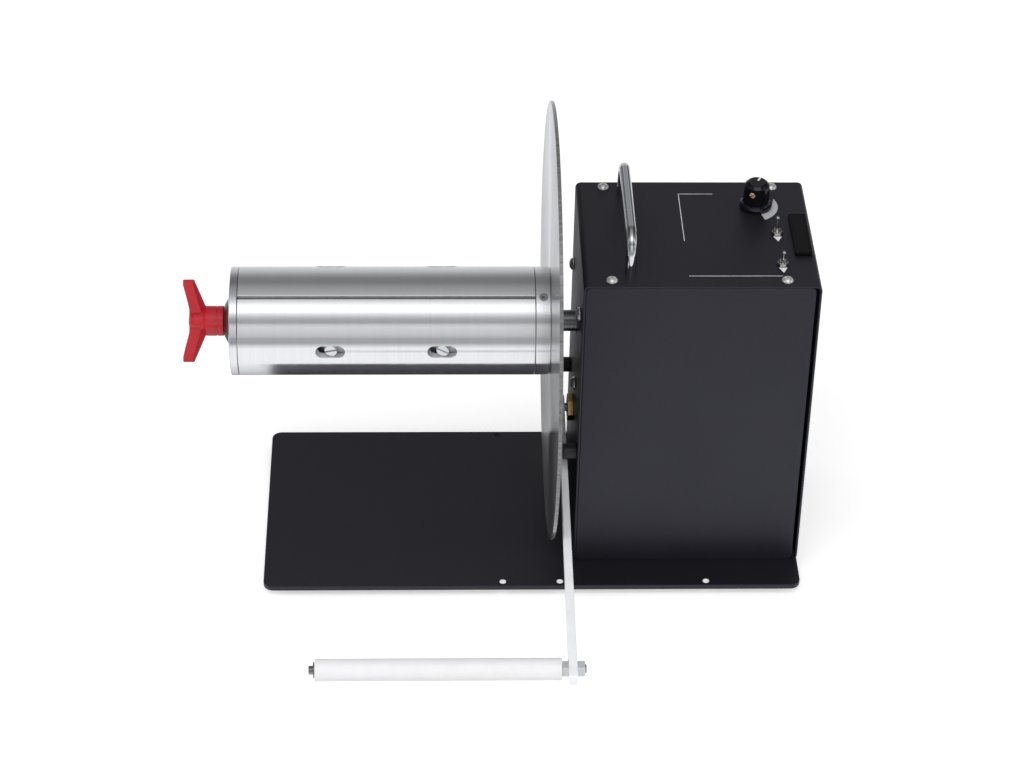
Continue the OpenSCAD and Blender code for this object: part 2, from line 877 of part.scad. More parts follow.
module motor_bracket() {
    top = motor_z + gearbox_d / 2 + bracket_top;
    color([0.65, 0.65, 0.67]) difference() {
        translate([bracket_x, house_y - bracket_w / 2, plate_z]) {
            cube([bracket_t, bracket_w, top - plate_z]);
            cube([bracket_t + bracket_foot, bracket_w, bracket_t]);
        }
        on_motor() {
            rod_x(bracket_x - cut, bracket_x + bracket_t + cut, motor_shaft_d + 2 * bracket_clear);
            motor_screw_turns() rod_x(bracket_x - cut, bracket_x + bracket_t + cut, m3_d + 2 * screw_gap);
        }
        for (p = base_screw_places)
            translate([p[0], p[1], foot_h]) csk_screw(seat_gap);
    }
}

// Children at each of the motor's four screws
module motor_screw_turns() {
    for (a = [45 : 90 : 315])
        rotate([a, 0, 0]) translate([0, motor_screw_pcd / 2, 0]) children();
}

module gear_motor() {
    face = bracket_x + bracket_t;
    color([0.45, 0.45, 0.48]) on_motor() difference() {
        union() {
            rod_x(face, face + gearbox_l, gearbox_d);
            rod_x(face + gearbox_l, face + gearbox_l + motor_l, motor_d);
        }
        rod_x(face - cut, face + motor_shaft_in + slide_gap, motor_shaft_d + 2 * running_gap);
        motor_screw_turns() rod_x(face - cut, face + motor_screw_in + tap_spare, m3_d + 2 * seat_gap);
    }
}

module motor_screws() {
    color([0.6, 0.6, 0.62]) on_motor() motor_screw_turns() {
        rod_x(bracket_x - pan_h, bracket_x, 2 * m3_d);
        rod_x(bracket_x - pan_h, bracket_x + bracket_t + motor_screw_in, m3_d);
    }
}

// Electrics

module control_board() {
    color([0.1, 0.35, 0.2]) translate([board_x, house_y, board_mid_z]) {
        translate([0, -board_y / 2, -board_z / 2]) cube([board_t, board_y, board_z]);
        for (z = can_zs)
            translate([0, can_y, z]) rotate([0, -90, 0]) cylinder(d = can_d, h = can_h);
        on_board(heat_sink_place) board_block(heat_sink);
        on_board(relay_place) board_block(relay);
        for (y = connector_ys)
            on_board([y, connector_z]) board_block(connector);
    }
}

// Children at a place on the board, given as Y and Z from its middle
module on_board(place) {
    translate([0, place[0], place[1]]) children();
}

// A block standing out of the board's face along -X
module board_block(size) {
    translate([-size[0], 0, 0]) cube(size);
}

module board_standoffs() {
    color([0.9, 0.9, 0.86])
        for (y = [-1, 1], z = [-1, 1])
            translate([0, house_y + y * (board_y / 2 - board_hole_in),
                       board_mid_z + z * (board_z / 2 - board_hole_in)])
                rod_x(board_x + board_t, inner_right_x, standoff_d);
}

module pot_body() {
    color([0.35, 0.35, 0.37]) translate([knob_x, knob_y, 0]) difference() {
        union() {
            translate([0, 0, under_z - pot_l]) cylinder(d = pot_d, h = pot_l);
            translate([0, 0, under_z - pot_l]) cylinder(d = pot_bush_d, h = pot_l + sheet_t + pot_bush_h);
        }
        translate([0, 0, top_z - pot_shaft_in - slide_gap])
            cylinder(d = pot_shaft_d + 2 * running_gap, h = pot_shaft_in + pot_bush_h + 2 * cut);
    }
}

module pot_shaft() {
    color([0.7, 0.7, 0.72]) translate([knob_x, knob_y, top_z - pot_shaft_in])
        cylinder(d = pot_shaft_d, h = pot_shaft_in + pot_shaft_h);
}

module torque_knob() {
    z0 = top_z + knob_lift;
    color([0.06, 0.06, 0.06]) translate([knob_x, knob_y, z0]) difference() {
        union() {
            cylinder(d1 = skirt_d, d2 = skirt_d - skirt_taper, h = knob_skirt_h);
            cylinder(d1 = knob_d + knob_taper, d2 = knob_d, h = knob_h - knob_edge);
            translate([0, 0, knob_h - knob_edge])
                cylinder(d1 = knob_d, d2 = knob_d - 2 * knob_edge, h = knob_edge);
        }
        translate([0, 0, -cut]) cylinder(d = knob_recess_d, h = knob_recess_h + cut);
        cylinder(d = pot_shaft_d + 2 * seat_gap, h = pot_shaft_h - knob_lift + slide_gap);
        knob_screw_line() cylinder(d = m4_d + 2 * seat_gap, h = skirt_d);
    }
}

// Children along the knob's set screw, from the knob's axis outwards
module knob_screw_line() {
    translate([0, 0, knob_screw_h]) rotate([90, 0, -knob_screw_turn]) children();
}

module knob_set_screw() {
    color([0.72, 0.55, 0.3]) translate([knob_x, knob_y, top_z + knob_lift]) knob_screw_line()
        translate([0, 0, pot_shaft_d / 2])
            cylinder(d = m4_d, h = (knob_d - pot_shaft_d) / 2 - knob_screw_back);
}

module toggle_bodies() {
    color([0.55, 0.55, 0.57])
        for (y = toggle_ys)
            translate([toggle_x, y, 0]) difference() {
                union() {
                    translate([-toggle_body[0] / 2, -toggle_body[1] / 2, under_z - toggle_body[2]])
                        cube(toggle_body);
                    translate([0, 0, under_z - cut])
                        cylinder(d = toggle_bush_d, h = cut + sheet_t + toggle_bush_h);
                }
                translate([0, 0, under_z - cut])
                    cylinder(d = toggle_bore_d, h = 3 * cut + sheet_t + toggle_bush_h);
            }
}

module panel_nuts() {
    color([0.8, 0.8, 0.8]) {
        translate([knob_x, knob_y, top_z]) hex_nut(pot_nut_af, pot_bush_d);
        for (y = toggle_ys)
            translate([toggle_x, y, top_z]) hex_nut(toggle_nut_af, toggle_bush_d);
    }
}

// A hexagonal nut standing on z = 0
module hex_nut(af, bore) {
    difference() {
        cylinder(d = af / cos(30), h = nut_t, $fn = 6);
        translate([0, 0, -cut]) cylinder(d = bore + 2 * seat_gap, h = nut_t + 2 * cut);
    }
}

// A toggle lever on its pivot, tilted back (+1) or forward (-1)
module toggle_lever(y, side) {
    color([0.85, 0.85, 0.86]) translate([toggle_x, y, top_z + toggle_pivot_h])
        rotate([-side * toggle_tilt, 0, 0]) {
            sphere(d = lever_ball_d);
            rotate([0, 90, 0]) cylinder(d = lever_pin_d, h = lever_pin_l, center = true);
            cylinder(d1 = lever_root_d, d2 = lever_tip_d, h = lever_l - lever_tip_d / 2);
            translate([0, 0, lever_l - lever_tip_d / 2]) sphere(d = lever_tip_d);
        }
}

module toggle_lever_1() {
    toggle_lever(toggle_ys[0], 1);
}

module toggle_lever_2() {
    toggle_lever(toggle_ys[1], -1);
}

module dc_inlet() {
    color([0.1, 0.1, 0.1]) translate([inlet_x, back_y, inlet_z]) rotate([-90, 0, 0]) {
        difference() {
            union() {
                cylinder(d = inlet_flange_d, h = inlet_flange_t);
                translate([0, 0, -inlet_l]) cylinder(d = inlet_d, h = inlet_l);
            }
            translate([0, 0, inlet_floor - inlet_l])
                cylinder(d = inlet_bore_d, h = inlet_l + inlet_flange_t);
        }
        translate([0, 0, inlet_floor / 2 - inlet_l])
            cylinder(d = inlet_pin_d, h = inlet_l - inlet_floor / 2);
    }
}

// Flange disc and chuck

module flange_disc() {
    color([0.82, 0.82, 0.84]) on_spindle()
        tube_x(disc_face_x, disc_back_x, disc_d, journal_d + 2 * seat_gap);
}

// Children on the line of the rear ring's set screw, along their own -Y
module on_set_screw() {
    translate([(ring_x + disc_face_x) / 2, 0, 0]) rotate([-set_screw_angle, 0, 0]) children();
}

module chuck_rear_ring() {
    color([0.8, 0.8, 0.82]) on_spindle() difference() {
        tube_x(ring_x, disc_face_x, chuck_d, journal_d + 2 * seat_gap);
        on_set_screw() rotate([90, 0, 0]) cylinder(d = set_screw_d + 2 * seat_gap, h = chuck_d);
    }
}

module ring_set_screw() {
    end = chuck_d / 2 - set_screw_sink;
    color([0.3, 0.3, 0.32]) on_spindle() on_set_screw() rotate([90, 0, 0]) difference() {
        translate([0, 0, journal_d / 2 + seat_gap])
            cylinder(d = set_screw_d, h = end - journal_d / 2 - seat_gap);
        translate([0, 0, end - set_screw_socket])
            cylinder(d = set_screw_socket / cos(30), h = set_screw_socket + cut, $fn = 6);
    }
}

module mandrel() {
    color([0.6, 0.6, 0.62]) on_spindle() difference() {
        union() {
            rod_x(segment_x, ring_x, mandrel_d);
            rod_x(cap_x, segment_x + cut, cap_spigot_d);
        }
        rod_x(spigot_x - cut, ring_x + cut, journal_d + 2 * seat_gap);
        rod_x(cap_x - cut, draw_end_x + draw_nut_l / 2, draw_bore_d);
        translate([nut_x, 0, 0]) linear_extrude(2 * mandrel_d, center = true)
            stadium(pin_slot_l, pin_slot_w);
    }
}

module chuck_cap() {
    color([0.75, 0.75, 0.77]) on_spindle() difference() {
        union() {
            rod_x(cap_x, segment_x, chuck_d);
            cone_x(nose_x, cap_x, cap_nose_d, cap_cone_d);
        }
        rod_x(cap_x, segment_x + cut, cap_spigot_d + 2 * seat_gap);
        rod_x(nose_x - cut, segment_x, draw_d + 2 * slide_gap);
    }
}

// Children at each segment's row, their own -Y pointing outwards
module at_rows() {
    on_spindle()
        for (a = segment_angles)
            rotate([-a, 0, 0]) children();
}

// Children at a row's two ramps: X along the ramp, -Y square to it
module on_ramps() {
    for (x = slot_x)
        translate([x, -ramp_r, 0]) rotate([0, 0, -ramp_a]) children();
}

// A wedge under a ramp in the X-Y plane, of a given half length and width
module ramp_wedge(half_l, w, inner_r, gap) {
    for (x = slot_x)
        translate([x, 0, 0]) linear_extrude(w, center = true) polygon([
            [-half_l, -inner_r],
            [half_l, -inner_r],
            [half_l, -(ramp_r + ramp_rise * half_l + gap)],
            [-half_l, -(ramp_r - ramp_rise * half_l + gap)]
        ]);
}

module expander() {
    bore = mandrel_d + 4 * running_gap;
    color([0.7, 0.7, 0.72]) difference() {
        union() {
            on_spindle() rod_x(slot_x[1] - expander_end, slot_x[0] + expander_end, expander_d);
            at_rows() ramp_wedge(ramp_half_l, ramp_w, mandrel_d / 2 + wedge_root, 0);
        }
        on_spindle() {
            rod_x(slot_x[1] - 2 * expander_end, slot_x[0] + 2 * expander_end, bore);
            translate([nut_x, 0, 0]) cylinder(d = pin_d + 2 * seat_gap, h = 2 * expander_d, center = true);
        }
        at_rows() on_ramps() rotate([90, 0, 0]) translate([0, 0, -shank_in - shank_spare])
            cylinder(d = shank_d + 2 * seat_gap, h = shank_in + shank_spare + 2 * cut);
    }
}

module segment_screws() {
    seat = ledge_w + head_gap;
    color([0.85, 0.86, 0.84]) at_rows() on_ramps() rotate([90, 0, 0]) difference() {
        union() {
            translate([0, 0, -shank_in]) cylinder(d = shank_d, h = seat + shank_in + cut / 2);
            translate([0, 0, seat]) cylinder(d = slot_head_d, h = head_h);
        }
        translate([-slot_head_d, -driver_slot_w / 2, seat + head_h - driver_slot_h])
            cube([2 * slot_head_d, driver_slot_w, driver_slot_h + cut]);
    }
}

module draw_nut() {
    color([0.72, 0.58, 0.3]) on_spindle() difference() {
        tube_x(nut_x - draw_nut_l / 2, nut_x + draw_nut_l / 2, draw_nut_d, draw_d + 4 * running_gap);
        translate([nut_x, 0, 0]) cylinder(d = pin_d + 2 * seat_gap, h = 2 * draw_nut_d, center = true);
    }
}

module cross_pins() {
    color([0.6, 0.6, 0.62]) on_spindle()
        for (s = [0, 180])
            rotate([s, 0, 0]) translate([nut_x, 0, pin_in_r])
                cylinder(d = pin_d, h = expander_d / 2 - pin_in_r - pin_back);
}

// One chuck segment about the row at angle a
module chuck_segment(a) {
    apex = split_w / 2 / sin(60);
    far = chuck_d;
    x0 = segment_x + slide_gap;
    x1 = ring_x - slide_gap;
    color([0.84, 0.84, 0.86]) on_spindle() rotate([-a, 0, 0]) difference() {
        intersection() {
            union() {
                tube_x(x0, x1, chuck_d, 2 * segment_inner_r);
                for (x = slot_x)
                    translate([x - pad_half_l, -segment_inner_r - segment_wall / 2, -pad_w / 2])
                        cube([2 * pad_half_l, segment_wall / 2 + pad_h, pad_w]);
            }
            translate([x0, 0, 0]) rotate([90, 0, 90]) linear_extrude(x1 - x0) polygon([
                [-apex, 0],
                [-apex - far * cos(60), far * sin(60)],
                [-apex - far, far * sin(60)],
                [-apex - far, -far * sin(60)],
                [-apex - far * cos(60), -far * sin(60)]
            ]);
        }
        ramp_wedge(ramp_space_half_l, pad_w + 2 * pad_clear, mandrel_d / 2, ramp_gap);
        on_ramps() rotate([90, 0, 0]) {
            translate([0, 0, ledge_w]) linear_extrude(chuck_d / 2) stadium(slot_l, slot_w);
            translate([0, 0, -cut]) linear_extrude(ledge_w + 2 * cut) stadium(shank_slot_l, shank_slot_w);
        }
    }
}

module chuck_segment_1() {
    chuck_segment(segment_angles[0]);
}

module chuck_segment_2() {
    chuck_segment(segment_angles[1]);
}

module chuck_segment_3() {
    chuck_segment(segment_angles[2]);
}

module draw_screw() {
    color([0.65, 0.65, 0.67]) on_spindle() {
        rod_x(hub_end_x + hub_chamfer, draw_end_x, draw_d);
        rod_x(cap_x + slide_gap, cap_x + slide_gap + draw_collar_l, draw_nut_d);
    }
}

// One wing in the X-Y plane, reaching along -Y
module wing_outline() {
    tip_r = wing_w / 2;
    tip_x = hub_end_x - wing_reach + tip_r;
    tip_s = wing_span / 2 - tip_r;
    lean = atan2(hub_end_x + 2 * wing_set - tip_x, tip_s - wing_root_s);
    polygon([
        [hub_end_x + wing_set, -wing_root_s],
        [hub_x - hub_groove_x - hub_groove_w - wing_set, -wing_root_s],
        [tip_x + tip_r * cos(lean), -(tip_s + tip_r * sin(lean))],
        [tip_x - tip_r * cos(lean), -(tip_s - tip_r * sin(lean))],
        [hub_end_x - wing_heel, -wing_root_s - 2 * wing_set]
    ]);
    translate([tip_x, -tip_s]) circle(tip_r);
}

module wing_knob() {
    groove = hub_x - hub_groove_x;
    color([0.78, 0.1, 0.16]) on_spindle() difference() {
        union() {
            rod_x(hub_end_x + hub_chamfer, hub_x, hub_d);
            cone_x(hub_end_x, hub_end_x + hub_chamfer, hub_d - 2 * hub_chamfer, hub_d);
            for (s = [0, 180])
                rotate([s - wing_turn, 0, 0]) linear_extrude(wing_t, center = true) wing_outline();
        }
        tube_x(groove - hub_groove_w, groove, hub_d + 2 * cut, hub_d - 2 * hub_groove_d);
        rod_x(hub_end_x + hub_chamfer - seat_gap, hub_x + cut, draw_d + 2 * seat_gap);
    }
}

// Dancer arm

module pivot_bush() {
    color([0.72, 0.58, 0.3]) on_pivot() difference() {
        union() {
            rod_x(wall_x - pivot_nut_l, inner_x + cut, bush_thread_d);
            rod_x(inner_x, inner_x + bush_flange_t, bush_flange_d);
            rod_x(inner_x, bush_end_x, bush_thread_d);
        }
        rod_x(wall_x - pivot_nut_l - cut, bush_end_x + cut, pivot_d + 2 * running_gap);
    }
}

module pivot_nut() {
    color([0.72, 0.58, 0.3]) on_pivot() difference() {
        hex_x(wall_x - pivot_nut_l, wall_x, pivot_nut_af);
        rod_x(wall_x - pivot_nut_l - cut, wall_x + cut, bush_thread_d + 2 * seat_gap);
    }
}

module stop_posts() {
    color([0.08, 0.08, 0.08]) on_pivot()
        for (s = [-1, 1])
            translate([0, s * post_reach, 0]) {
                rod_x(wall_x - post_l, wall_x, post_d);
                rod_x(wall_x - cut, inner_x + stud_l, stud_d);
            }
}

module arm_sensor() {
    color([0.15, 0.15, 0.17]) on_pivot() difference() {
        union() {
            translate([sensor_x, -sensor_w / 2, -sensor_h / 2]) cube([sensor_l, sensor_w, sensor_h]);
            for (y = [-sensor_w / 2, sensor_w / 2 - sensor_leg[0]])
                translate([inner_x, y, -sensor_leg[1] / 2])
                    cube([sensor_x - inner_x + cut, sensor_leg[0], sensor_leg[1]]);
        }
        rod_x(sensor_x - cut, pivot_end_x + slide_gap, pivot_d + 2 * running_gap);
    }
}

module pivot_shaft() {
    color([0.65, 0.65, 0.67]) on_pivot() {
        rod_x(arm_x, pivot_end_x, pivot_d);
        rod_x(collar_x, collar_x + collar_l, collar_d);
    }
}

module return_spring() {
    color([0.55, 0.55, 0.57]) on_pivot() tube_x(spring_x, collar_x, spring_d, spring_bore_d);
}

module dancer_arm() {
    color([0.86, 0.86, 0.87]) on_pivot() rotate([arm_rest, 0, 0])
        translate([arm_x, 0, 0]) rotate([90, 0, 90]) linear_extrude(arm_t) difference() {
            union() {
                circle(d = arm_boss_d);
                translate([-arm_l - arm_tail, -arm_h / 2]) square([arm_l + arm_tail, arm_h]);
            }
            circle(d = pivot_d + 2 * seat_gap);
            translate([-arm_l, 0]) circle(d = axle_d + 2 * seat_gap);
        }
}

module roller_axle() {
    color([0.65, 0.65, 0.67]) on_roller()
        rod_x(roller_x - slide_gap - clip_t - axle_out, arm_x + arm_t + axle_nut_l + axle_proud, axle_d);
}

module axle_nuts() {
    color([0.78, 0.78, 0.8]) on_roller() difference() {
        union() {
            hex_x(roller_end_x + slide_gap, arm_x, axle_nut_af);
            hex_x(arm_x + arm_t, arm_x + arm_t + axle_nut_l, axle_nut_af);
        }
        rod_x(roller_x, arm_x + arm_t + 2 * axle_nut_l, axle_d + 2 * seat_gap);
    }
}

module axle_clip() {
    x = roller_x - slide_gap - clip_t;
    color([0.5, 0.5, 0.52]) on_roller() tube_x(x, x + clip_t, clip_d, axle_d + 2 * seat_gap);
}

module guide_roller() {
    color([0.94, 0.94, 0.95]) on_roller() difference() {
        tube_x(roller_x, roller_end_x, roller_d, axle_d + 2 * running_gap);
        rod_x(roller_x - cut, roller_x + roller_mouth_l, roller_mouth_d);
    }
}

base_plate();
rubber_feet();
base_screws();
housing_wrap();
front_panel();
rear_panel();
top_screws();
carry_handle();
handle_screws();
blank_badge();
bearing_housing();
bearing_screws();
bearing_outer_rings();
bearing_balls();
motor_bracket();
gear_motor();
motor_screws();
drive_belt();
control_board();
board_standoffs();
pot_body();
toggle_bodies();
panel_nuts();
dc_inlet();
pivot_bush();
pivot_nut();
arm_sensor();
stop_posts();
spindle();
bearing_inner_rings();
spindle_pulley();
flange_disc();
chuck_rear_ring();
ring_set_screw();
mandrel();
chuck_cap();
wing_knob();
draw_screw();
expander();
draw_nut();
cross_pins();
segment_screws();
chuck_segment_1();
chuck_segment_2();
chuck_segment_3();
motor_shaft();
motor_pulley();
dancer_arm();
pivot_shaft();
return_spring();
roller_axle();
axle_nuts();
axle_clip();
guide_roller();
torque_knob();
knob_set_screw();
pot_shaft();
toggle_lever_1();
toggle_lever_2();
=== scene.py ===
"""Looks of a powered label unwinder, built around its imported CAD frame.

Sizes are in millimetres. X runs along the spindle, -Y is the front and Z is up, as in the frame.
"""

import json
import logging
import math
from abc import ABC, abstractmethod
from dataclasses import dataclass, field, replace
from enum import Enum
from typing import Optional, Sequence

import bmesh
import bpy
import numpy as np
from mathutils import Matrix, Vector


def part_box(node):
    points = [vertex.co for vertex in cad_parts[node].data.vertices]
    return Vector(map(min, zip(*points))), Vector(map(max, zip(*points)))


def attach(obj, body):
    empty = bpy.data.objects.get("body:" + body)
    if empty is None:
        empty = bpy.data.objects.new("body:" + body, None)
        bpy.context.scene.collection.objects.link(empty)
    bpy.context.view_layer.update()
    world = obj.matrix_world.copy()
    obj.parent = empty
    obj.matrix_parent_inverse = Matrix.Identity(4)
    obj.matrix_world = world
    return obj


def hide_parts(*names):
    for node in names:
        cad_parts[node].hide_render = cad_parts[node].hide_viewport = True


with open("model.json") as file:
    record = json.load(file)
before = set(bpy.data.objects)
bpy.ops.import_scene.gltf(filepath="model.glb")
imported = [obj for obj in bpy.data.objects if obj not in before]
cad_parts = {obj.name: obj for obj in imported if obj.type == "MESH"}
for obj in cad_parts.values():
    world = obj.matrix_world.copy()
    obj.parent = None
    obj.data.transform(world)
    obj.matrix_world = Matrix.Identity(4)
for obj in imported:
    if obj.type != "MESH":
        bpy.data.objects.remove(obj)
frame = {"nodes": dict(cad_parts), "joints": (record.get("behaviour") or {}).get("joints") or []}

Socket = bpy.types.NodeSocket
Value = float | Socket
Pair = tuple[float, float]
Triple = tuple[float, float, float]
Floats = tuple[float, ...]
Pairs = tuple[Pair, ...]

LOG = logging.getLogger("unwinder")
MM = 0.001
FULL_TURN = 2 * math.pi
TINY = 1e-6  # points closer than this are one
MERGE_M = 1e-7  # the same for a mesh, in metres
NEEDLE_M = 1e-8  # edges shorter than this are taken out, in metres
SHARP_DEG = 32.0  # edges that turn by more than this stay sharp
RIM_STEPS = 4  # points of a round rim
SHEET = 1.5  # thickness of the box's sheet metal
OVERCUT = 2.0  # how far a cutter reaches past what it cuts
SIDES = (-1, 1)


class Axis(Enum):
    """The direction that a turned or raised shape is built along."""

    X = 0
    Y = 1
    Z = 2


class Body(str, Enum):
    """The rigid bodies that pieces ride on."""

    FRAME = "frame"
    SPINDLE = "spindle"
    WING = "wing_knob"
    EXPANDER = "expander"
    ARM = "dancer_arm"
    ROLLER = "guide_roller"
    TORQUE = "torque_knob"


class Cut(str, Enum):
    """How two meshes are put together."""

    TAKE = "DIFFERENCE"
    ADD = "UNION"


class Part(ABC):
    """A group of pieces that are built together."""

    @abstractmethod
    def build(self) -> None:
        """Builds and dresses every piece of the group."""


@dataclass(frozen=True)
class NodeBox:
    """The box of one CAD node, in millimetres."""

    lo: np.ndarray  # lowest corner
    hi: np.ndarray  # highest corner

    @classmethod
    def of(cls, node: str) -> "NodeBox":
        """Reads the box of a node from the frame."""
        lo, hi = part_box(node)
        return cls(np.array(lo) / MM, np.array(hi) / MM)

    @property
    def mid(self) -> np.ndarray:
        """The box's middle."""
        return (self.lo + self.hi) / 2

    @property
    def size(self) -> np.ndarray:
        """The box's extents."""
        return self.hi - self.lo


# Shapes


@dataclass
class Shape:
    """Points in millimetres and faces of a piece that is being shaped."""

    points: np.ndarray  # one row for each point
    faces: list[list[int]]  # the point numbers round each face

    def moved(self, x: float = 0.0, y: float = 0.0, z: float = 0.0) -> "Shape":
        """Moves the shape."""
        return Shape(self.points + np.array([x, y, z]), self.faces)

    def turned(self, axis: Axis, degrees: float) -> "Shape":
        """Turns the shape about an axis through the origin."""
        matrix = np.array(Matrix.Rotation(math.radians(degrees), 3, axis.name))
        return Shape(self.points @ matrix.T, self.faces)

    def about(self, axis: np.ndarray) -> "Shape":
        """Moves the shape from the X axis to an axis beside it."""
        return self.moved(0.0, axis[1], axis[2])

    def mirrored(self) -> "Shape":
        """Mirrors the shape in Y, with faces that to_object turns outwards again."""
        return Shape(self.points * np.array([1, -1, 1]), self.faces)

    @staticmethod
    def joined(shapes: Sequence["Shape"]) -> "Shape":
        """Puts several shapes into one.

        Args:
            shapes: the shapes to put together.

        Returns:
            One shape with all their points and faces.
        """
        starts = np.cumsum([0] + [len(s.points) for s in shapes[:-1]])
        faces = [[i + int(k) for i in f] for s, k in zip(shapes, starts) for f in s.faces]
        return Shape(np.vstack([s.points for s in shapes]), faces)


def along(points: np.ndarray, axis: Axis) -> np.ndarray:
    """Puts points that were built along Z on another axis, without mirroring them."""
    return np.roll(points, axis.value - Axis.Z.value, axis=-1)


def grid_faces(rows: int, columns: int, wrap_rows: bool, wrap_columns: bool) -> list[list[int]]:
    """Joins a grid of points with four-sided faces.

    Args:
        rows: number of rows.
        columns: number of points in a row.
        wrap_rows: whether the last row joins the first.
        wrap_columns: whether a row closes on itself.

    Returns:
        The point numbers round each face.
    """
    i, j = np.meshgrid(
        np.arange(rows if wrap_rows else rows - 1),
        np.arange(columns if wrap_columns else columns - 1),
        indexing="ij",
    )
    up, right = (i + 1) % rows, (j + 1) % columns
    corners = [i * columns + j, i * columns + right, up * columns + right, up * columns + j]
    return np.stack(corners, -1).reshape(-1, 4).tolist()


def rounded(points: Sequence, radius: float | Sequence, steps: int = 6) -> np.ndarray:
    """Rounds each corner of a closed outline with an arc that is tangent to both sides.

    The arc's middle lies on the corner's bisector, radius / sin(half the corner's angle) from the corner.

    Args:
        points: the outline's corners.
        radius: one radius, or one for each corner.
        steps: sides of each arc.

    Returns:
        The outline's points.
    """
    p = np.asarray(points, float)
    r = np.broadcast_to(np.asarray(radius, float), len(p))[:, None]
    before = np.roll(p, 1, 0) - p
    after = np.roll(p, -1, 0) - p
    before /= np.linalg.norm(before, axis=1, keepdims=True)
    after /= np.linalg.norm(after, axis=1, keepdims=True)
    half = np.arccos(np.clip((before * after).sum(1, keepdims=True), -1, 1)) / 2
    middle = before + after
    middle /= np.maximum(np.linalg.norm(middle, axis=1, keepdims=True), TINY * MM)
    centre = p + middle * r / np.sin(half)
    start = p + before * r / np.tan(half) - centre
    end = p + after * r / np.tan(half) - centre
    side = np.sign(start[:, 0] * end[:, 1] - start[:, 1] * end[:, 0])
    swing = side[:, None] * (np.pi - 2 * half) * np.linspace(0, 1, steps + 1)
    c, s = np.cos(swing), np.sin(swing)
    curve = np.stack([start[:, :1] * c - start[:, 1:] * s, start[:, :1] * s + start[:, 1:] * c], -1)
    out = (centre[:, None] + curve).reshape(-1, 2)
    keep = np.linalg.norm(out - np.roll(out, 1, 0), axis=1) > TINY
    return out[keep]


def outward(outline: np.ndarray) -> np.ndarray:
    """Finds the mitred outward normal at each point of a closed outline that runs anticlockwise.

    It is the sum of both neighbouring sides' normals, over 1 plus their dot product.

    Args:
        outline: the outline's points.

    Returns:
        One vector for each point, long enough to move both neighbouring sides by 1.
    """
    side = np.roll(outline, -1, 0) - outline
    side /= np.linalg.norm(side, axis=1, keepdims=True)
    after = np.stack([side[:, 1], -side[:, 0]], -1)
    before = np.roll(after, 1, 0)
    return (before + after) / (1 + (before * after).sum(1, keepdims=True))


def anticlockwise(outline: np.ndarray) -> np.ndarray:
    """Returns an outline so that it runs anticlockwise.

    Args:
        outline: the outline's points, either way round.

    Returns:
        The same points, anticlockwise.
    """
    x, y = outline.T
    area = (x * np.roll(y, -1) - y * np.roll(x, -1)).sum()
    return outline if area > 0 else outline[::-1]


def loft(outlines: np.ndarray, heights: Sequence, axis: Axis = Axis.Z) -> Shape:
    """Joins outlines with as many points each, one above the other, and closes both ends.

    Args:
        outlines: the outlines, lowest first.
        heights: the height of each.
        axis: the direction of the height.

    Returns:
        A closed shape.
    """
    rows, count = outlines.shape[:2]
    height = np.broadcast_to(np.asarray(heights, float)[:, None, None], (rows, count, 1))
    points = np.concatenate([outlines, height], -1).reshape(-1, 3)
    ends = [list(range(count))[::-1], list(range((rows - 1) * count, rows * count))]
    return Shape(along(points, axis), grid_faces(rows, count, False, True) + ends)


def stack(outline: np.ndarray, insets: Sequence, heights: Sequence, axis: Axis = Axis.Z) -> Shape:
    """Joins copies of an outline, each drawn in by an inset at a height, and closes both ends.

    A copy's points are the outline's less the inset times the outward normal.

    Args:
        outline: a closed outline.
        insets: how far each copy is drawn in.
        heights: the height of each copy.
        axis: the direction of the height.

    Returns:
        A closed shape.
    """
    flat = anticlockwise(np.asarray(outline, float))
    inset = np.asarray(insets, float)[:, None, None]
    return loft(flat[None] - outward(flat)[None] * inset, heights, axis)


def prism(outline: np.ndarray, low: float, high: float, edge: float = 0.3, axis: Axis = Axis.Z) -> Shape:
    """Raises an outline into a solid with round rims.

    A rim is a quarter circle: inset = edge (1 - sin t), rise = edge (1 - cos t).

    Args:
        outline: a closed outline.
        low: height of the lower face.
        high: height of the upper face.
        edge: radius of the rims.
        axis: the direction of the height.

    Returns:
        A closed shape.
    """
    t = np.linspace(0, np.pi / 2, RIM_STEPS)
    inset, rise = edge * (1 - np.sin(t)), edge * (1 - np.cos(t))
    return stack(outline, np.r_[inset, inset[::-1]], np.r_[low + rise, high - rise[::-1]], axis)


def rectangle(width: float, height: float, x: float = 0.0, y: float = 0.0) -> np.ndarray:
    """Draws a rectangle about a middle."""
    corners = np.array([[-1, -1], [1, -1], [1, 1], [-1, 1]]) * np.array([width, height]) / 2
    return corners + np.array([x, y])


def circle(radius: float, steps: int = 64, x: float = 0.0, y: float = 0.0) -> np.ndarray:
    """Draws a circle: radius (cos t, sin t) about its middle."""
    t = np.linspace(0, FULL_TURN, steps, endpoint=False)
    return np.stack([x + radius * np.cos(t), y + radius * np.sin(t)], -1)


def arc(radius: float, start: float, end: float, height: float = 0.0, steps: int = 8) -> np.ndarray:
    """Draws a round part of a profile: height + radius sin t, radius cos t."""
    t = np.linspace(start, end, steps)
    return np.stack([height + radius * np.sin(t), radius * np.cos(t)], -1)


def stepped(places: Sequence, radii: Sequence, bore: float = 0.0) -> np.ndarray:
    """Draws a stepped round profile, from the heights where steps start and end and their radii."""
    return np.column_stack([np.repeat(places, 2), np.r_[bore, np.repeat(radii, 2), bore]])


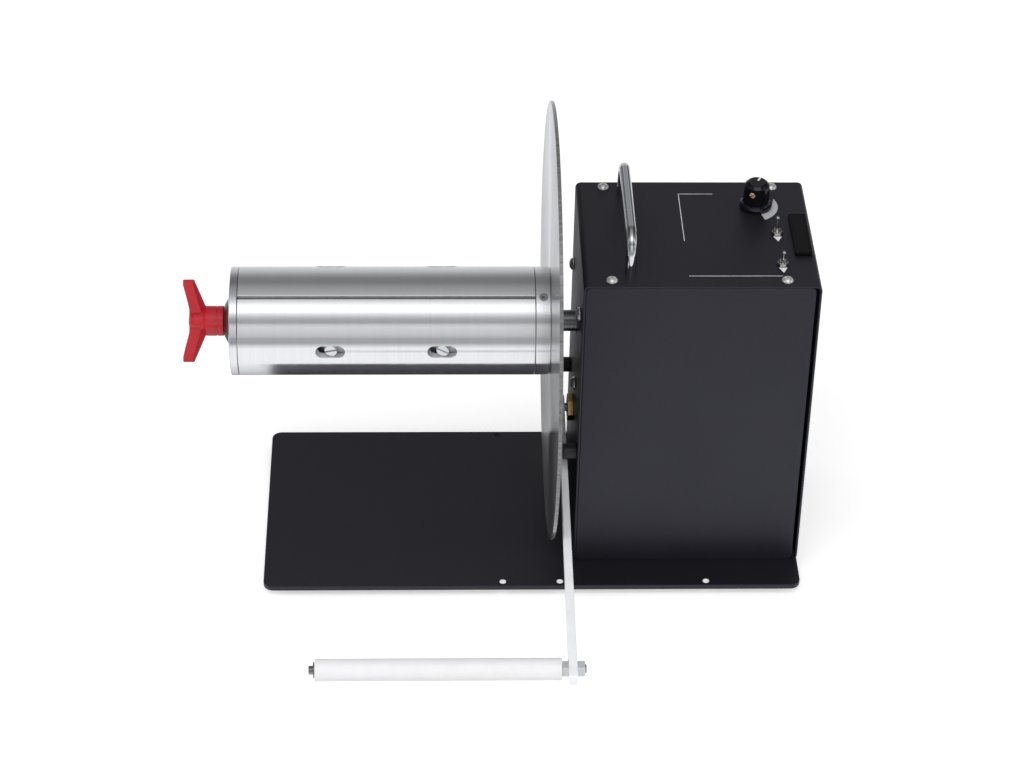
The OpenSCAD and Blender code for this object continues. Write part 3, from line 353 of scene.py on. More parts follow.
def lathe(profile: Sequence, edge: float = 0.3, steps: int = 96, axis: Axis = Axis.X) -> Shape:
    """Turns a closed profile about an axis: height along it, radius (cos t, sin t) across it.

    Args:
        profile: corners as pairs of height and radius.
        edge: radius that each corner off the axis is rounded by.
        steps: number of sides round the axis.
        axis: the axis.

    Returns:
        A closed shape.
    """
    corners = np.asarray(profile, float)
    radii = np.where(corners[:, 1] > TINY, edge, 0.0)
    height, radius = rounded(corners, radii, steps=3).T
    t = np.linspace(0, FULL_TURN, steps, endpoint=False)
    level = np.repeat(height[:, None], steps, 1)
    grid = np.stack([radius[:, None] * np.cos(t), radius[:, None] * np.sin(t), level], -1)
    return Shape(along(grid.reshape(-1, 3), axis), grid_faces(len(height), steps, True, True))


def sweep(path: np.ndarray, radius: float, across: np.ndarray, sides: int = 40) -> Shape:
    """Runs a round bar along a flat path: path + radius (cos t side + sin t across).

    Args:
        path: points of the path.
        radius: the bar's radius.
        across: unit normal of the plane that the path lies in.
        sides: number of sides of the bar.

    Returns:
        A closed shape.
    """
    ahead = np.gradient(path, axis=0)
    ahead /= np.linalg.norm(ahead, axis=1, keepdims=True)
    side = np.cross(ahead, across)
    t = np.linspace(0, FULL_TURN, sides, endpoint=False)[None, :, None]
    rings = path[:, None] + radius * (np.cos(t) * side[:, None] + np.sin(t) * across)
    n = len(path)
    ends = [list(range(sides)), list(range((n - 1) * sides, n * sides))[::-1]]
    return Shape(rings.reshape(-1, 3), grid_faces(n, sides, False, True) + ends)


def hexagon(across_flats: float, corner_r: float = 0.25) -> np.ndarray:
    """Draws a hexagon about the origin, its corners slightly round."""
    return rounded(circle(across_flats / 2 / math.cos(math.pi / 6), 6), corner_r, steps=3)


def joint_at(child: str) -> np.ndarray:
    """Finds the place of the joint that moves a body."""
    return np.array(next(j for j in frame["joints"] if j["child"] == child)["pos_m"]) / MM


# Blender objects


def to_object(name: str, shape: Shape, sharp_deg: float = SHARP_DEG) -> bpy.types.Object:
    """Makes a smooth-shaded object from a shape.

    Args:
        name: the object's name.
        shape: its points and faces.
        sharp_deg: edges that turn by more than this stay sharp.

    Returns:
        The new object, at the origin, in metres.
    """
    mesh = bpy.data.meshes.new(name)
    mesh.from_pydata((shape.points * MM).tolist(), [], shape.faces)
    work = bmesh.new()
    work.from_mesh(mesh)
    bmesh.ops.remove_doubles(work, verts=work.verts, dist=MERGE_M)
    bmesh.ops.dissolve_degenerate(work, edges=work.edges, dist=NEEDLE_M)
    bmesh.ops.recalc_face_normals(work, faces=work.faces)
    work.to_mesh(mesh)
    work.free()
    smooth(mesh, sharp_deg)
    made = bpy.data.objects.new(name, mesh)
    bpy.context.scene.collection.objects.link(made)
    return made


def smooth(mesh: bpy.types.Mesh, sharp_deg: float = SHARP_DEG) -> None:
    """Shades a mesh smooth, apart from its sharp edges."""
    mesh.polygons.foreach_set("use_smooth", np.ones(len(mesh.polygons), bool))
    mesh.set_sharp_from_angle(angle=math.radians(sharp_deg))


def settle(made: bpy.types.Object) -> None:
    """Turns an object's modifiers into its mesh.

    Args:
        made: the object, which is left with no modifiers.
    """
    bpy.context.view_layer.update()
    graph = bpy.context.evaluated_depsgraph_get()
    mesh = bpy.data.meshes.new_from_object(made.evaluated_get(graph))
    made.modifiers.clear()
    made.data = mesh


def combine(made: bpy.types.Object, shapes: Sequence[Shape], how: Cut = Cut.TAKE) -> None:
    """Cuts shapes out of an object or fuses them with it.

    Args:
        made: the object that is changed.
        shapes: the shapes to use, which may not touch each other.
        how: whether they are taken away or added.
    """
    tool = to_object(f"{made.name}.tool", Shape.joined(shapes))
    step = made.modifiers.new("combine", "BOOLEAN")
    step.operation = how.value
    step.solver = "EXACT"
    step.object = tool
    settle(made)
    bpy.data.objects.remove(tool)
    smooth(made.data)


def shape_of(made: bpy.types.Object) -> Shape:
    """Takes an object apart into a shape and removes it.

    Args:
        made: the object.

    Returns:
        Its points, in millimetres, and faces.
    """
    points = np.zeros(len(made.data.vertices) * 3, np.float32)
    made.data.vertices.foreach_get("co", points)
    faces = [list(p.vertices) for p in made.data.polygons]
    bpy.data.objects.remove(made)
    return Shape(points.reshape(-1, 3).astype(float) / MM, faces)


# Finishes

NOISE_LOW, NOISE_HIGH = 0.3, 0.7


class Graph:
    """The nodes of a material or world, with short calls to add and join them."""

    def __init__(self, owner: str | bpy.types.World) -> None:
        """Starts an empty graph.

        Args:
            owner: a new material's name, or a world.
        """
        self.material = bpy.data.materials.new(owner) if isinstance(owner, str) else owner
        self.material.use_nodes = True
        self.tree = self.material.node_tree
        self.tree.nodes.clear()
        self.place = self.add("ShaderNodeTexCoord").outputs["Object"]

    def add(self, kind: str, inputs: Optional[dict] = None, **settings: str) -> bpy.types.Node:
        """Adds a node.

        Args:
            kind: the node's type.
            inputs: values or other nodes' sockets for its inputs.
            settings: the node's own properties.

        Returns:
            The node.
        """
        node = self.tree.nodes.new(kind)
        for key, value in settings.items():
            setattr(node, key, value)
        for key, value in (inputs or {}).items():
            if isinstance(value, Socket):
                self.tree.links.new(value, node.inputs[key])
            else:
                node.inputs[key].default_value = value
        return node

    def math(self, operation: str, a: Value, b: Value = 0.0) -> Socket:
        """Adds a sum on two values."""
        return self.add("ShaderNodeMath", {0: a, 1: b}, operation=operation).outputs[0]

    def noise(self, size_mm: float, stretch: Sequence = (1, 1, 1), detail: float = 3.0) -> Socket:
        """Adds noise in the object's own coordinates.

        Args:
            size_mm: size of the largest features.
            stretch: how much finer the noise is along each axis.
            detail: number of finer layers.

        Returns:
            The noise value's socket.
        """
        scaled = self.add("ShaderNodeMapping", {"Vector": self.place, "Scale": tuple(stretch)}).outputs[0]
        inputs = {"Vector": scaled, "Scale": 1 / (size_mm * MM), "Detail": detail, "Roughness": 0.55}
        return self.add("ShaderNodeTexNoise", inputs).outputs[0]

    def ripple(self, at: Socket, scale: float, detail: float) -> Socket:
        """Adds noise along one measure."""
        inputs = {"W": at, "Scale": scale, "Detail": detail}
        return self.add("ShaderNodeTexNoise", inputs, noise_dimensions="1D").outputs[0]

    def spread(self, value: Socket, low: float, high: float) -> Socket:
        """Maps a noise value to a range."""
        ends = {"From Min": NOISE_LOW, "From Max": NOISE_HIGH, "To Min": low, "To Max": high}
        return self.add("ShaderNodeMapRange", {"Value": value, **ends}).outputs[0]

    def ramp(self, share: Socket, stops: Sequence) -> Socket:
        """Adds a ramp of colours.

        Args:
            share: where to read the ramp, from 0 to 1.
            stops: pairs of a place on the ramp and its colour.

        Returns:
            The colour's socket.
        """
        node = self.add("ShaderNodeValToRGB", {"Fac": share})
        points = node.color_ramp.elements
        for place, _ in stops[2:]:
            points.new(place)
        for point, (place, colour) in zip(points, stops):
            point.position = place
            point.color = (*colour, 1)
        return node.outputs[0]

    def tint(self, value: Socket, dark: Triple, light: Triple) -> Socket:
        """Blends two colours by a noise value."""
        return self.ramp(value, [(NOISE_LOW, dark), (NOISE_HIGH, light)])

    def mix(self, share: Socket, first: Socket, second: Socket) -> Socket:
        """Blends two colours."""
        inputs = {0: share, 6: first, 7: second}
        return self.add("ShaderNodeMix", inputs, data_type="RGBA").outputs[2]

    def either(self, share: Socket, first: Socket, second: Socket) -> Socket:
        """Blends two shaders."""
        return self.add("ShaderNodeMixShader", {0: share, 1: first, 2: second}).outputs[0]

    def rays(self) -> tuple[Socket, Socket]:
        """Tells where a ray comes from.

        Returns:
            The sockets of whether it is seen by the camera or through glass, and whether in metal.
        """
        rays = self.add("ShaderNodeLightPath").outputs
        seen = self.math("MAXIMUM", rays["Is Camera Ray"], rays["Is Transmission Ray"])
        return seen, rays["Is Glossy Ray"]

    def polar(self, y: float, z: float) -> tuple[Socket, Socket, Socket]:
        """Measures from an axis along X.

        Args:
            y: place of the axis along Y.
            z: place of the axis along Z.

        Returns:
            The sockets of the distance from the axis and of its parts along Y and Z.
        """
        parts = self.add("ShaderNodeSeparateXYZ", {0: self.place}).outputs
        over = self.math("SUBTRACT", parts[1], y * MM)
        up = self.math("SUBTRACT", parts[2], z * MM)
        square = self.math("ADD", self.math("MULTIPLY", over, over), self.math("MULTIPLY", up, up))
        return self.math("SQRT", square), over, up

    def relief(self, height: Socket, depth_mm: float) -> Socket:
        """Turns a height into a bumpy normal."""
        inputs = {"Height": height, "Distance": depth_mm * MM, "Strength": 1.0}
        return self.add("ShaderNodeBump", inputs).outputs[0]

    def towards(self, x: Value, y: Value, z: Value) -> Socket:
        """Turns a direction of the object into one of the scene, so that it moves with the object.

        Args:
            x: the direction's part along the object's X.
            y: its part along Y.
            z: its part along Z.

        Returns:
            The direction's socket.
        """
        own = self.add("ShaderNodeCombineXYZ", {0: x, 1: y, 2: z}).outputs[0]
        settings = {"vector_type": "VECTOR", "convert_from": "OBJECT", "convert_to": "WORLD"}
        return self.add("ShaderNodeVectorTransform", {0: own}, **settings).outputs[0]

    def surface(self, **inputs: Value | tuple) -> bpy.types.Material:
        """Ends the material with a surface shader.

        Args:
            inputs: the shader's inputs, with spaces in their names as underscores.

        Returns:
            The finished material.
        """
        named = {key.replace("_", " "): value for key, value in inputs.items()}
        shader = self.add("ShaderNodeBsdfPrincipled", named)
        self.add("ShaderNodeOutputMaterial", {"Surface": shader.outputs[0]})
        return self.material


@dataclass(frozen=True)
class Finish(ABC):
    """The look of one material."""

    name: str  # the material's name
    slot: str  # the record's material slot
    colour: Triple  # its base colour, as linear red, green and blue
    roughness: float  # its mean roughness

    @abstractmethod
    def make(self) -> bpy.types.Material:
        """Builds the material.

        Returns:
            The new material.
        """

    @property
    def label(self) -> str:
        """The material's name in the scene, apart from the names that the frame brings."""
        return f"look_{self.name}"

    def material(self) -> bpy.types.Material:
        """Finds the material, and builds it the first time."""
        return bpy.data.materials.get(self.label) or self.make()

    def shaded(self, g: Graph, value: Socket, low: float, high: float) -> Socket:
        """Makes the colour darker and lighter by a noise value."""
        dark, light = (tuple(min(1.0, c * share) for c in self.colour) for share in (low, high))
        return g.tint(value, dark, light)


@dataclass(frozen=True)
class PowderCoat(Finish):
    """Sprayed paint with a fine orange-peel texture."""

    peel_mm: float = 0.7  # size of the texture's bumps
    depth_mm: float = 0.03  # their depth
    contrast: float = 0.2  # how much the colour varies with them
    sheen: float = 0.44  # level of the paint's clear reflection
    tinge: Triple = (0.85, 0.87, 1.0)  # its colour
    broad_mm: float = 60.0  # size of the patches of uneven gloss
    uneven: float = 0.04  # how much the roughness varies with them

    def make(self) -> bpy.types.Material:
        """Builds the paint: bumps, fine specks and broad uneven gloss.

        Returns:
            The new material.
        """
        g = Graph(self.label)
        peel = g.noise(self.peel_mm, detail=2.0)
        broad = g.noise(self.broad_mm)
        return g.surface(
            Base_Color=self.shaded(g, peel, 1 - self.contrast, 1 + self.contrast),
            Roughness=g.spread(broad, self.roughness - self.uneven, self.roughness + self.uneven),
            Specular_IOR_Level=self.sheen,
            Specular_Tint=(*self.tinge, 1),
            Normal=g.relief(peel, self.depth_mm),
        )


@dataclass(frozen=True)
class TurnedMetal(Finish):
    """Metal turned on a lathe: fine lines that change along its axis."""

    axis: Axis = Axis.X  # the axis that it was turned about
    line_mm: float = 0.5  # spacing of the lines
    run: float = 0.01  # scale of the noise round the axis, where the lines run on
    depth_mm: float = 0.0002  # their depth
    contrast: float = 0.03  # how much the colour varies with them
    cloud_mm: float = 12.0  # size of the patches of uneven polish
    mottle: float = 0.04  # how much the roughness varies with them
    drawn: float = 0.8  # how much the lines draw reflections out along the axis
    metal: float = 1.0  # share of clear metal, the rest scattering light
    y: float = 0.0  # place of the axis along Y
    z: float = 0.0  # place of the axis along Z
    skin_r: float = 0.0  # radius below which the metal is bare from sawing, or 0 where none is
    bare: float = 0.3  # the metal's share there

    def make(self) -> bpy.types.Material:
        """Builds the metal: noise that is fine along the axis and long round it.

        Returns:
            The new material.
        """
        g = Graph(self.label)
        across = np.eye(3)[self.axis.value]
        lines = g.noise(self.line_mm, np.where(across > 0, 1.0, self.run), 4.0)
        cloud = g.noise(self.cloud_mm)
        clear = self.metal
        if self.skin_r:
            sunk = g.math("LESS_THAN", g.polar(self.y, self.z)[0], self.skin_r * MM)
            clear = g.math("SUBTRACT", self.metal, g.math("MULTIPLY", sunk, self.metal - self.bare))
        return g.surface(
            Base_Color=self.shaded(g, lines, 1 - self.contrast, 1 + self.contrast),
            Metallic=clear,
            Roughness=g.spread(cloud, self.roughness - self.mottle / 2, self.roughness + self.mottle),
            Anisotropic=self.drawn,
            Tangent=g.towards(*across),
            Normal=g.relief(lines, self.depth_mm),
        )


@dataclass(frozen=True)
class FacedMetal(Finish):
    """A metal face that was turned flat: rings about an axis along X."""

    y: float = 0.0  # place of the rings' middle along Y
    z: float = 0.0  # place of the rings' middle along Z
    line_mm: float = 0.6  # spacing of the rings
    depth_mm: float = 0.0003  # their depth
    contrast: float = 0.04  # how much the face's colour varies with them
    rim_r: float = 1000.0  # radius from which on the metal is rim
    rim_shade: Pair = (0.3, 0.55)  # what the colour is multiplied by on the rim, at its darkest and lightest
    ticks: float = 500.0  # number of marks round the rim
    chatter: float = 0.35  # depth of the marks, as a share of the rings'
    cloud_mm: float = 25.0  # size of the patches of uneven polish
    mottle: Pair = (0.02, 0.05)  # how much the roughness falls and rises with them
    drawn: float = 0.9  # how much the rings draw reflections out along the radius
    metal: float = 0.93  # share of clear metal on the face, the rest scattering light
    uneven: float = 0.02  # how much that share varies with the patches
    rim_metal: float = 0.4  # the share on the rim

    def make(self) -> bpy.types.Material:
        """Builds the face: noise read by radius, and chatter read by angle.

        Returns:
            The new material.
        """
        g = Graph(self.label)
        radius, y, z = g.polar(self.y, self.z)
        rings = g.ripple(radius, 1 / (self.line_mm * MM), 4.0)
        chatter = g.ripple(g.math("ARCTAN2", z, y), self.ticks / FULL_TURN, 2.0)
        height = g.math("ADD", rings, g.math("MULTIPLY", chatter, self.chatter))
        cloud = g.noise(self.cloud_mm)
        face = self.shaded(g, rings, 1 - self.contrast, 1 + self.contrast)
        on_rim = g.math("GREATER_THAN", radius, self.rim_r * MM)
        clear = g.spread(cloud, self.metal - self.uneven, self.metal + self.uneven)
        loss = g.math("MULTIPLY", on_rim, self.metal - self.rim_metal)
        return g.surface(
            Base_Color=g.mix(on_rim, face, self.shaded(g, chatter, *self.rim_shade)),
            Metallic=g.math("SUBTRACT", clear, loss),
            Roughness=g.spread(cloud, self.roughness - self.mottle[0], self.roughness + self.mottle[1]),
            Anisotropic=self.drawn,
            Tangent=g.towards(radius, y, z),
            Normal=g.relief(height, self.depth_mm),
        )


@dataclass(frozen=True)
class PlainMetal(Finish):
    """Plated or drawn metal with faint marks from handling."""

    mark_mm: float = 3.0  # size of the marks
    depth_mm: float = 0.004  # their depth
    contrast: float = 0.08  # how much the colour varies
    wear: Pair = (0.8, 1.25)  # what the roughness is multiplied by, at its least and most
    metal: float = 1.0  # share of clear metal, the rest scattering light

    def make(self) -> bpy.types.Material:
        """Builds the metal: cloudy colour and roughness over a faint relief.

        Returns:
            The new material.
        """
        g = Graph(self.label)
        marks = g.noise(self.mark_mm, detail=5.0)
        return g.surface(
            Base_Color=self.shaded(g, marks, 1 - self.contrast, 1 + self.contrast),
            Metallic=self.metal,
            Roughness=g.spread(marks, self.roughness * self.wear[0], self.roughness * self.wear[1]),
            Normal=g.relief(marks, self.depth_mm),
        )


@dataclass(frozen=True)
class Moulded(Finish):
    """A moulded or blasted surface with a fine grain."""

    grain_mm: float = 0.8  # size of the grain
    depth_mm: float = 0.01  # its depth
    flow_mm: float = 9.0  # size of the flow marks
    contrast: float = 0.06  # how much the colour varies with them
    wear: Pair = (0.85, 1.15)  # what the roughness is multiplied by, at its least and most
    coat: float = 0.0  # weight of a clear glossy layer
    coat_roughness: float = 0.08  # that layer's roughness
    metal: float = 0.0  # share of metal in its look
    sheen: float = 0.5  # level of its clear reflection

    def make(self) -> bpy.types.Material:
        """Builds the plastic: grain, flow marks and uneven gloss.

        Returns:
            The new material.
        """
        g = Graph(self.label)
        grain = g.noise(self.grain_mm, detail=2.0)
        flow = g.noise(self.flow_mm)
        return g.surface(
            Base_Color=self.shaded(g, flow, 1 - self.contrast, 1 + self.contrast),
            Metallic=self.metal,
            Roughness=g.spread(flow, self.roughness * self.wear[0], self.roughness * self.wear[1]),
            Specular_IOR_Level=self.sheen,
            Coat_Weight=self.coat,
            Coat_Roughness=self.coat_roughness,
            Normal=g.relief(grain, self.depth_mm),
        )


# Staging


@dataclass(frozen=True)
class Lamp:
    """A soft box, which metal shows only through the background's bands."""

    name: str  # the lamp's name
    place: Triple  # where it stands
    aim: Triple  # the point it faces
    size: Pair  # its width and height
    watts: float  # its power

    def build(self) -> None:
        """Puts the lamp into the scene."""
        data = bpy.data.lights.new(self.name, "AREA")
        data.shape = "RECTANGLE"
        data.size, data.size_y = (side * MM for side in self.size)
        data.energy = self.watts
        made = bpy.data.objects.new(self.name, data)
        back = Vector(self.place) - Vector(self.aim)
        made.location = Vector(self.place) * MM
        made.rotation_euler = back.to_track_quat("Z", "Y").to_euler()
        made.visible_glossy = False
        bpy.context.scene.collection.objects.link(made)


@dataclass
class Studio(Part):
    """Camera, floor, lamps and background."""

    lens_px: float = 2946.15  # focal length in pixels of the photo's width
    width_px: float = 1024.0  # width of the photo
    sensor_mm: float = 36.0  # width of the camera's sensor
    far_m: float = 100.0  # distance that the camera sees to
    pitch_deg: float = 36.28  # how far the camera looks down
    yaw_deg: float = 2.31  # how far it looks towards +X
    roll_deg: float = -1.27  # its roll
    eye: Triple = (-81.96, -1681.21, 1354.66)  # its place
    floor_reach: float = 20000.0  # half width of the floor
    floor_t: float = 20.0  # thickness of the floor
    floor_grey: Pair = (0.78, 0.8)  # the floor's darkest and lightest grey
    floor_mm: float = 4.0  # size of its mottle
    floor_glow: float = 0.45  # how much the floor brightens itself to the camera
    sweep_reach: float = 1500.0  # half depth of the floor that reflections are graded over
    sweep: Pairs = (  # places along Y on the floor, and their level in reflections
        (-1500.0, 0.38), (-800.0, 0.33), (-620.0, 0.5), (-400.0, 1.0), (-100.0, 1.0), (90.0, 0.42),
        (170.0, 0.38), (260.0, 0.85), (440.0, 0.88), (900.0, 0.76), (1500.0, 0.68),
    )
    # directions about the spindle's line in degrees, 0 at the back and 90 up, and their level
    bands: Pairs = (
        (0.0, 0.63), (14.0, 0.54), (24.0, 0.4), (31.0, 0.29), (40.0, 0.19), (45.0, 0.16), (57.0, 0.15),
        (69.0, 0.26), (84.0, 0.36), (92.0, 0.45), (99.0, 0.62), (105.0, 0.8), (112.0, 1.22), (119.0, 1.32),
        (126.0, 1.3), (133.0, 0.74), (142.0, 0.39), (150.0, 0.32), (154.0, 0.64), (159.0, 0.72),
        (168.0, 0.64), (180.0, 0.53),
    )
    # places from the far left, 0, to the far right, 1, and what the bands are multiplied by there
    sides: Pairs = (
        (0.0, 0.9), (0.2, 0.25), (0.28, 0.25), (0.33, 1.0), (0.68, 1.0), (0.73, 0.2), (0.82, 0.2), (1.0, 0.9),
    )
    cool: Triple = (0.99, 1.0, 1.03)  # the faint cool colour that reflected levels are multiplied by
    ambient: float = 0.6  # level of the light from all round
    lamps: tuple[Lamp, ...] = (  # the soft boxes
        Lamp("key", (-250, -700, 1500), (0, 0, 120), (900, 500), 4.0),
        Lamp("front", (-100, -1700, 600), (0, 0, 120), (900, 600), 6.0),
        Lamp("left", (-1500, -300, 700), (0, 0, 120), (700, 700), 7.0),
        Lamp("right", (1400, -700, 800), (60, 0, 120), (700, 700), 6.0),
    )

    def build(self) -> None:
        """Makes everything round the object."""
        self.camera()
        self.floor()
        self.background()
        for lamp in self.lamps:
            lamp.build()
        bpy.context.scene.view_settings.view_transform = "Standard"

    def camera(self) -> None:
        """Puts the camera where the photo was taken from."""
        theta, psi, rho = np.radians([self.pitch_deg, self.yaw_deg, self.roll_deg])
        flat = np.array([math.sin(psi), math.cos(psi), 0.0])
        ahead = flat * math.cos(theta) - np.array([0.0, 0.0, math.sin(theta)])
        level = np.array([math.cos(psi), -math.sin(psi), 0.0])
        down = np.cross(ahead, level)
        right = math.cos(rho) * level + math.sin(rho) * down
        lower = -math.sin(rho) * level + math.cos(rho) * down
        data = bpy.data.cameras.new("camera")
        data.sensor_width = self.sensor_mm
        data.lens = self.sensor_mm * self.lens_px / self.width_px
        data.clip_end = self.far_m
        made = bpy.data.objects.new("camera", data)
        place = np.eye(4)
        place[:3, :3] = np.stack([right, -lower, -ahead], 1)
        place[:3, 3] = np.array(self.eye) * MM
        made.matrix_world = Matrix(place.tolist())
        bpy.context.scene.collection.objects.link(made)
        bpy.context.scene.camera = made

    def graded(self, g: Graph, share: Socket, stops: Sequence) -> Socket:
        """Adds a grey ramp with a faint cool tint."""
        return g.ramp(share, [(place, [level * c for c in self.cool]) for place, level in stops])

    def floor(self) -> None:
        """Lays a pale floor.

        It is white with a soft shadow to the camera, and graded from front to back in reflections.
        """
        size = 2 * self.floor_reach
        made = to_object("floor", prism(rectangle(size, size), -self.floor_t, 0.0, edge=1.0))
        g = Graph("floor_white")
        seen, glossy = g.rays()
        grey = g.tint(g.noise(self.floor_mm), *([level] * 3 for level in self.floor_grey))
        paper = g.add("ShaderNodeBsdfDiffuse", {"Color": grey}).outputs[0]
        strength = g.math("MULTIPLY", seen, self.floor_glow)
        glow = g.add("ShaderNodeEmission", {"Strength": strength}).outputs[0]
        lit = g.add("ShaderNodeAddShader", {0: paper, 1: glow}).outputs[0]
        depth = g.add("ShaderNodeSeparateXYZ", {0: g.place}).outputs[1]
        reach = {"From Min": -self.sweep_reach * MM, "From Max": self.sweep_reach * MM}
        share = g.add("ShaderNodeMapRange", {"Value": depth, **reach}).outputs[0]
        stops = [(0.5 + y / (2 * self.sweep_reach), level) for y, level in self.sweep]
        mirrored = g.add("ShaderNodeEmission", {"Color": self.graded(g, share, stops)}).outputs[0]
        g.add("ShaderNodeOutputMaterial", {"Surface": g.either(glossy, lit, mirrored)})
        made.data.materials.append(g.material)

    def background(self) -> None:
        """Makes a white world.

        Its reflections have the studio's soft bands, by height over the spindle's line.
        """
        world = bpy.data.worlds.new("studio")
        bpy.context.scene.world = world
        g = Graph(world)
        seen, glossy = g.rays()
        ahead = g.add("ShaderNodeTexCoord").outputs["Generated"]
        parts = g.add("ShaderNodeSeparateXYZ", {0: ahead}).outputs
        height = g.math("DIVIDE", g.math("ARCTAN2", parts[2], parts[1]), math.pi)
        bands = self.graded(g, height, [(deg / 180, level) for deg, level in self.bands])
        share = g.add("ShaderNodeMapRange", {"Value": parts[0], "From Min": -1.0}).outputs[0]
        light = {"Color": bands, "Strength": self.graded(g, share, self.sides)}
        mirrored = g.add("ShaderNodeBackground", light).outputs[0]
        pure = {"Color": (1, 1, 1, 1)}
        dim = g.add("ShaderNodeBackground", {**pure, "Strength": self.ambient}).outputs[0]
        white = g.add("ShaderNodeBackground", pure).outputs[0]
        outer = g.either(seen, g.either(glossy, dim, mirrored), white)
        g.add("ShaderNodeOutputWorld", {"Surface": outer})


# Finishes of this machine

BLACK_COAT = PowderCoat("black_powder_coat", "black_powder_coat", (0.0113, 0.0105, 0.0148), 0.42)
CHUCK_METAL = TurnedMetal(
    "polished_chuck", "polished_aluminium", (0.86, 0.86, 0.87), 0.15, drawn=0.6, metal=0.92
)
CAP_METAL = TurnedMetal(
    "turned_cap", "polished_aluminium", (0.84, 0.84, 0.85), 0.14, line_mm=0.8, drawn=0.6
)
DISC_METAL = FacedMetal("polished_disc", "polished_aluminium", (0.5, 0.5, 0.505), 0.2)
BLASTED_METAL = Moulded(
    "blasted_aluminium", "satin_aluminium", (0.94, 0.95, 0.97), 0.5, metal=0.2, contrast=0.03
)
SATIN_METAL = PlainMetal("satin_aluminium", "satin_aluminium", (0.74, 0.74, 0.75), 0.34, mark_mm=6.0)
STEEL = TurnedMetal("turned_steel", "steel", (0.3, 0.3, 0.3), 0.26)
DARK_STEEL = PlainMetal("dark_steel", "steel", (0.2, 0.2, 0.2), 0.4)
STAINLESS = PlainMetal("stainless", "stainless", (0.88, 0.87, 0.85), 0.14, metal=0.7)
CHROME = PlainMetal(
    "chrome", "chrome_plate", (0.8, 0.8, 0.82), 0.06, mark_mm=20.0, depth_mm=0.002, contrast=0.03
)
# near-black, used only as painted shade: the washer in the gap between the chuck's cap and the knob
SHADE_BLACK = PlainMetal("black_oxide", "black_steel", (0.16, 0.16, 0.15), 0.35)
ZINC = PlainMetal("zinc_plate", "zinc_plate", (0.74, 0.77, 0.78), 0.3, mark_mm=1.5)
BRIGHT_ZINC = PlainMetal("bright_zinc", "zinc_plate", (0.82, 0.84, 0.86), 0.2, mark_mm=1.5, metal=0.6)
GRUB_STEEL = PlainMetal("grub_steel", "black_steel", (0.45, 0.45, 0.44), 0.25)
BRASS = PlainMetal("brass", "brass", (0.62, 0.45, 0.19), 0.25)
GRUB_BRASS = PlainMetal("bright_brass", "brass", (0.86, 0.62, 0.4), 0.2, metal=0.5)
NICKEL = PlainMetal("nickel_plate", "brass", (0.6, 0.57, 0.53), 0.14)
GLOSS_BLACK = Moulded("gloss_black", "gloss_black", (0.004, 0.004, 0.005), 0.12)
BADGE_BLACK = Moulded("badge_black", "gloss_black", (0.003, 0.003, 0.003), 0.2, sheen=0.15)
RED = Moulded("red_plastic", "red_plastic", (0.46, 0.01, 0.019), 0.36, grain_mm=1.2, depth_mm=0.02)
WHITE = Moulded("white_plastic", "white_plastic", (0.8, 0.8, 0.81), 0.4, contrast=0.02)
BLACK_PLASTIC = Moulded("black_plastic", "black_plastic", (0.02, 0.02, 0.02), 0.45)
RUBBER = Moulded("black_rubber", "black_rubber", (0.022, 0.022, 0.026), 0.42, grain_mm=0.5, depth_mm=0.02)
BOARD = Moulded("board_laminate", "board_laminate", (0.02, 0.13, 0.05), 0.35, coat=0.3, contrast=0.3)
NYLON = Moulded("nylon", "nylon", (0.72, 0.7, 0.63), 0.5)
WHITE_INK = Moulded("white_ink", "white_plastic", (0.82, 0.82, 0.82), 0.5, contrast=0.1)
GREY_INK = PowderCoat("grey_ink", "white_plastic", (0.5, 0.51, 0.54), 0.55, peel_mm=0.6, depth_mm=0.01)

# Pieces


def dress(made: bpy.types.Object, body: Body | str, finish: Finish, *nodes: str) -> None:
    """Gives a piece its finish, puts it on its body and lets it stand for CAD nodes.

    Args:
        made: the piece.
        body: the body it rides on.
        finish: its finish.
        nodes: the CAD nodes it stands for.
    """
    made.data.materials.clear()
    made.data.materials.append(finish.material())
    even = made.modifiers.new("even_normals", "WEIGHTED_NORMAL")
    even.keep_sharp = True
    rides_on = body.value if isinstance(body, Body) else body
    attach(made, rides_on)
    if nodes:
        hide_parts(*nodes)
    LOG.info("%s rides on %s", made.name, rides_on)


@dataclass(frozen=True)
class ButtonScrew:
    """A domed socket screw."""

    head_d: float  # diameter of the head
    head_h: float  # height of the head
    shank_l: float  # length of the shank
    shank_d: float = 4.0  # diameter of the shank
    socket: float = 2.5  # width of the socket across its flats
    dome: Pair = (0.12, 1.15)  # angles that the dome starts and ends at, in radians from the level
    seat: float = 0.97  # radius of the head's seat, as a share of the head's
    land: float = 0.62  # least radius of the dome, as a share of the socket's width
    floor: float = 0.35  # height of the socket's floor, as a share of the head's

    def shape(self) -> Shape:
        """Turns the screw along Z, its head's seat at 0.

        The dome's height follows sin t up to the head's height, and its radius follows cos t.

        Returns:
            The screw's shape.
        """
        t = np.linspace(*self.dome, 9)
        reach, shank, top = self.head_d / 2, self.shank_d / 2, self.head_h
        radius = np.maximum(reach * np.cos(t), self.socket * self.land)
        dome = np.stack([top * np.sin(t) / math.sin(t[-1]), radius], -1)
        stem = [(-self.shank_l, 0), (-self.shank_l, shank), (0, shank), (0, reach * self.seat)]
        screw = to_object("screw", lathe([*stem, *dome, (top, 0)], edge=0.1, steps=48, axis=Axis.Z))
        combine(screw, [prism(hexagon(self.socket), top * self.floor, top + OVERCUT, edge=0.05)])
        return shape_of(screw)


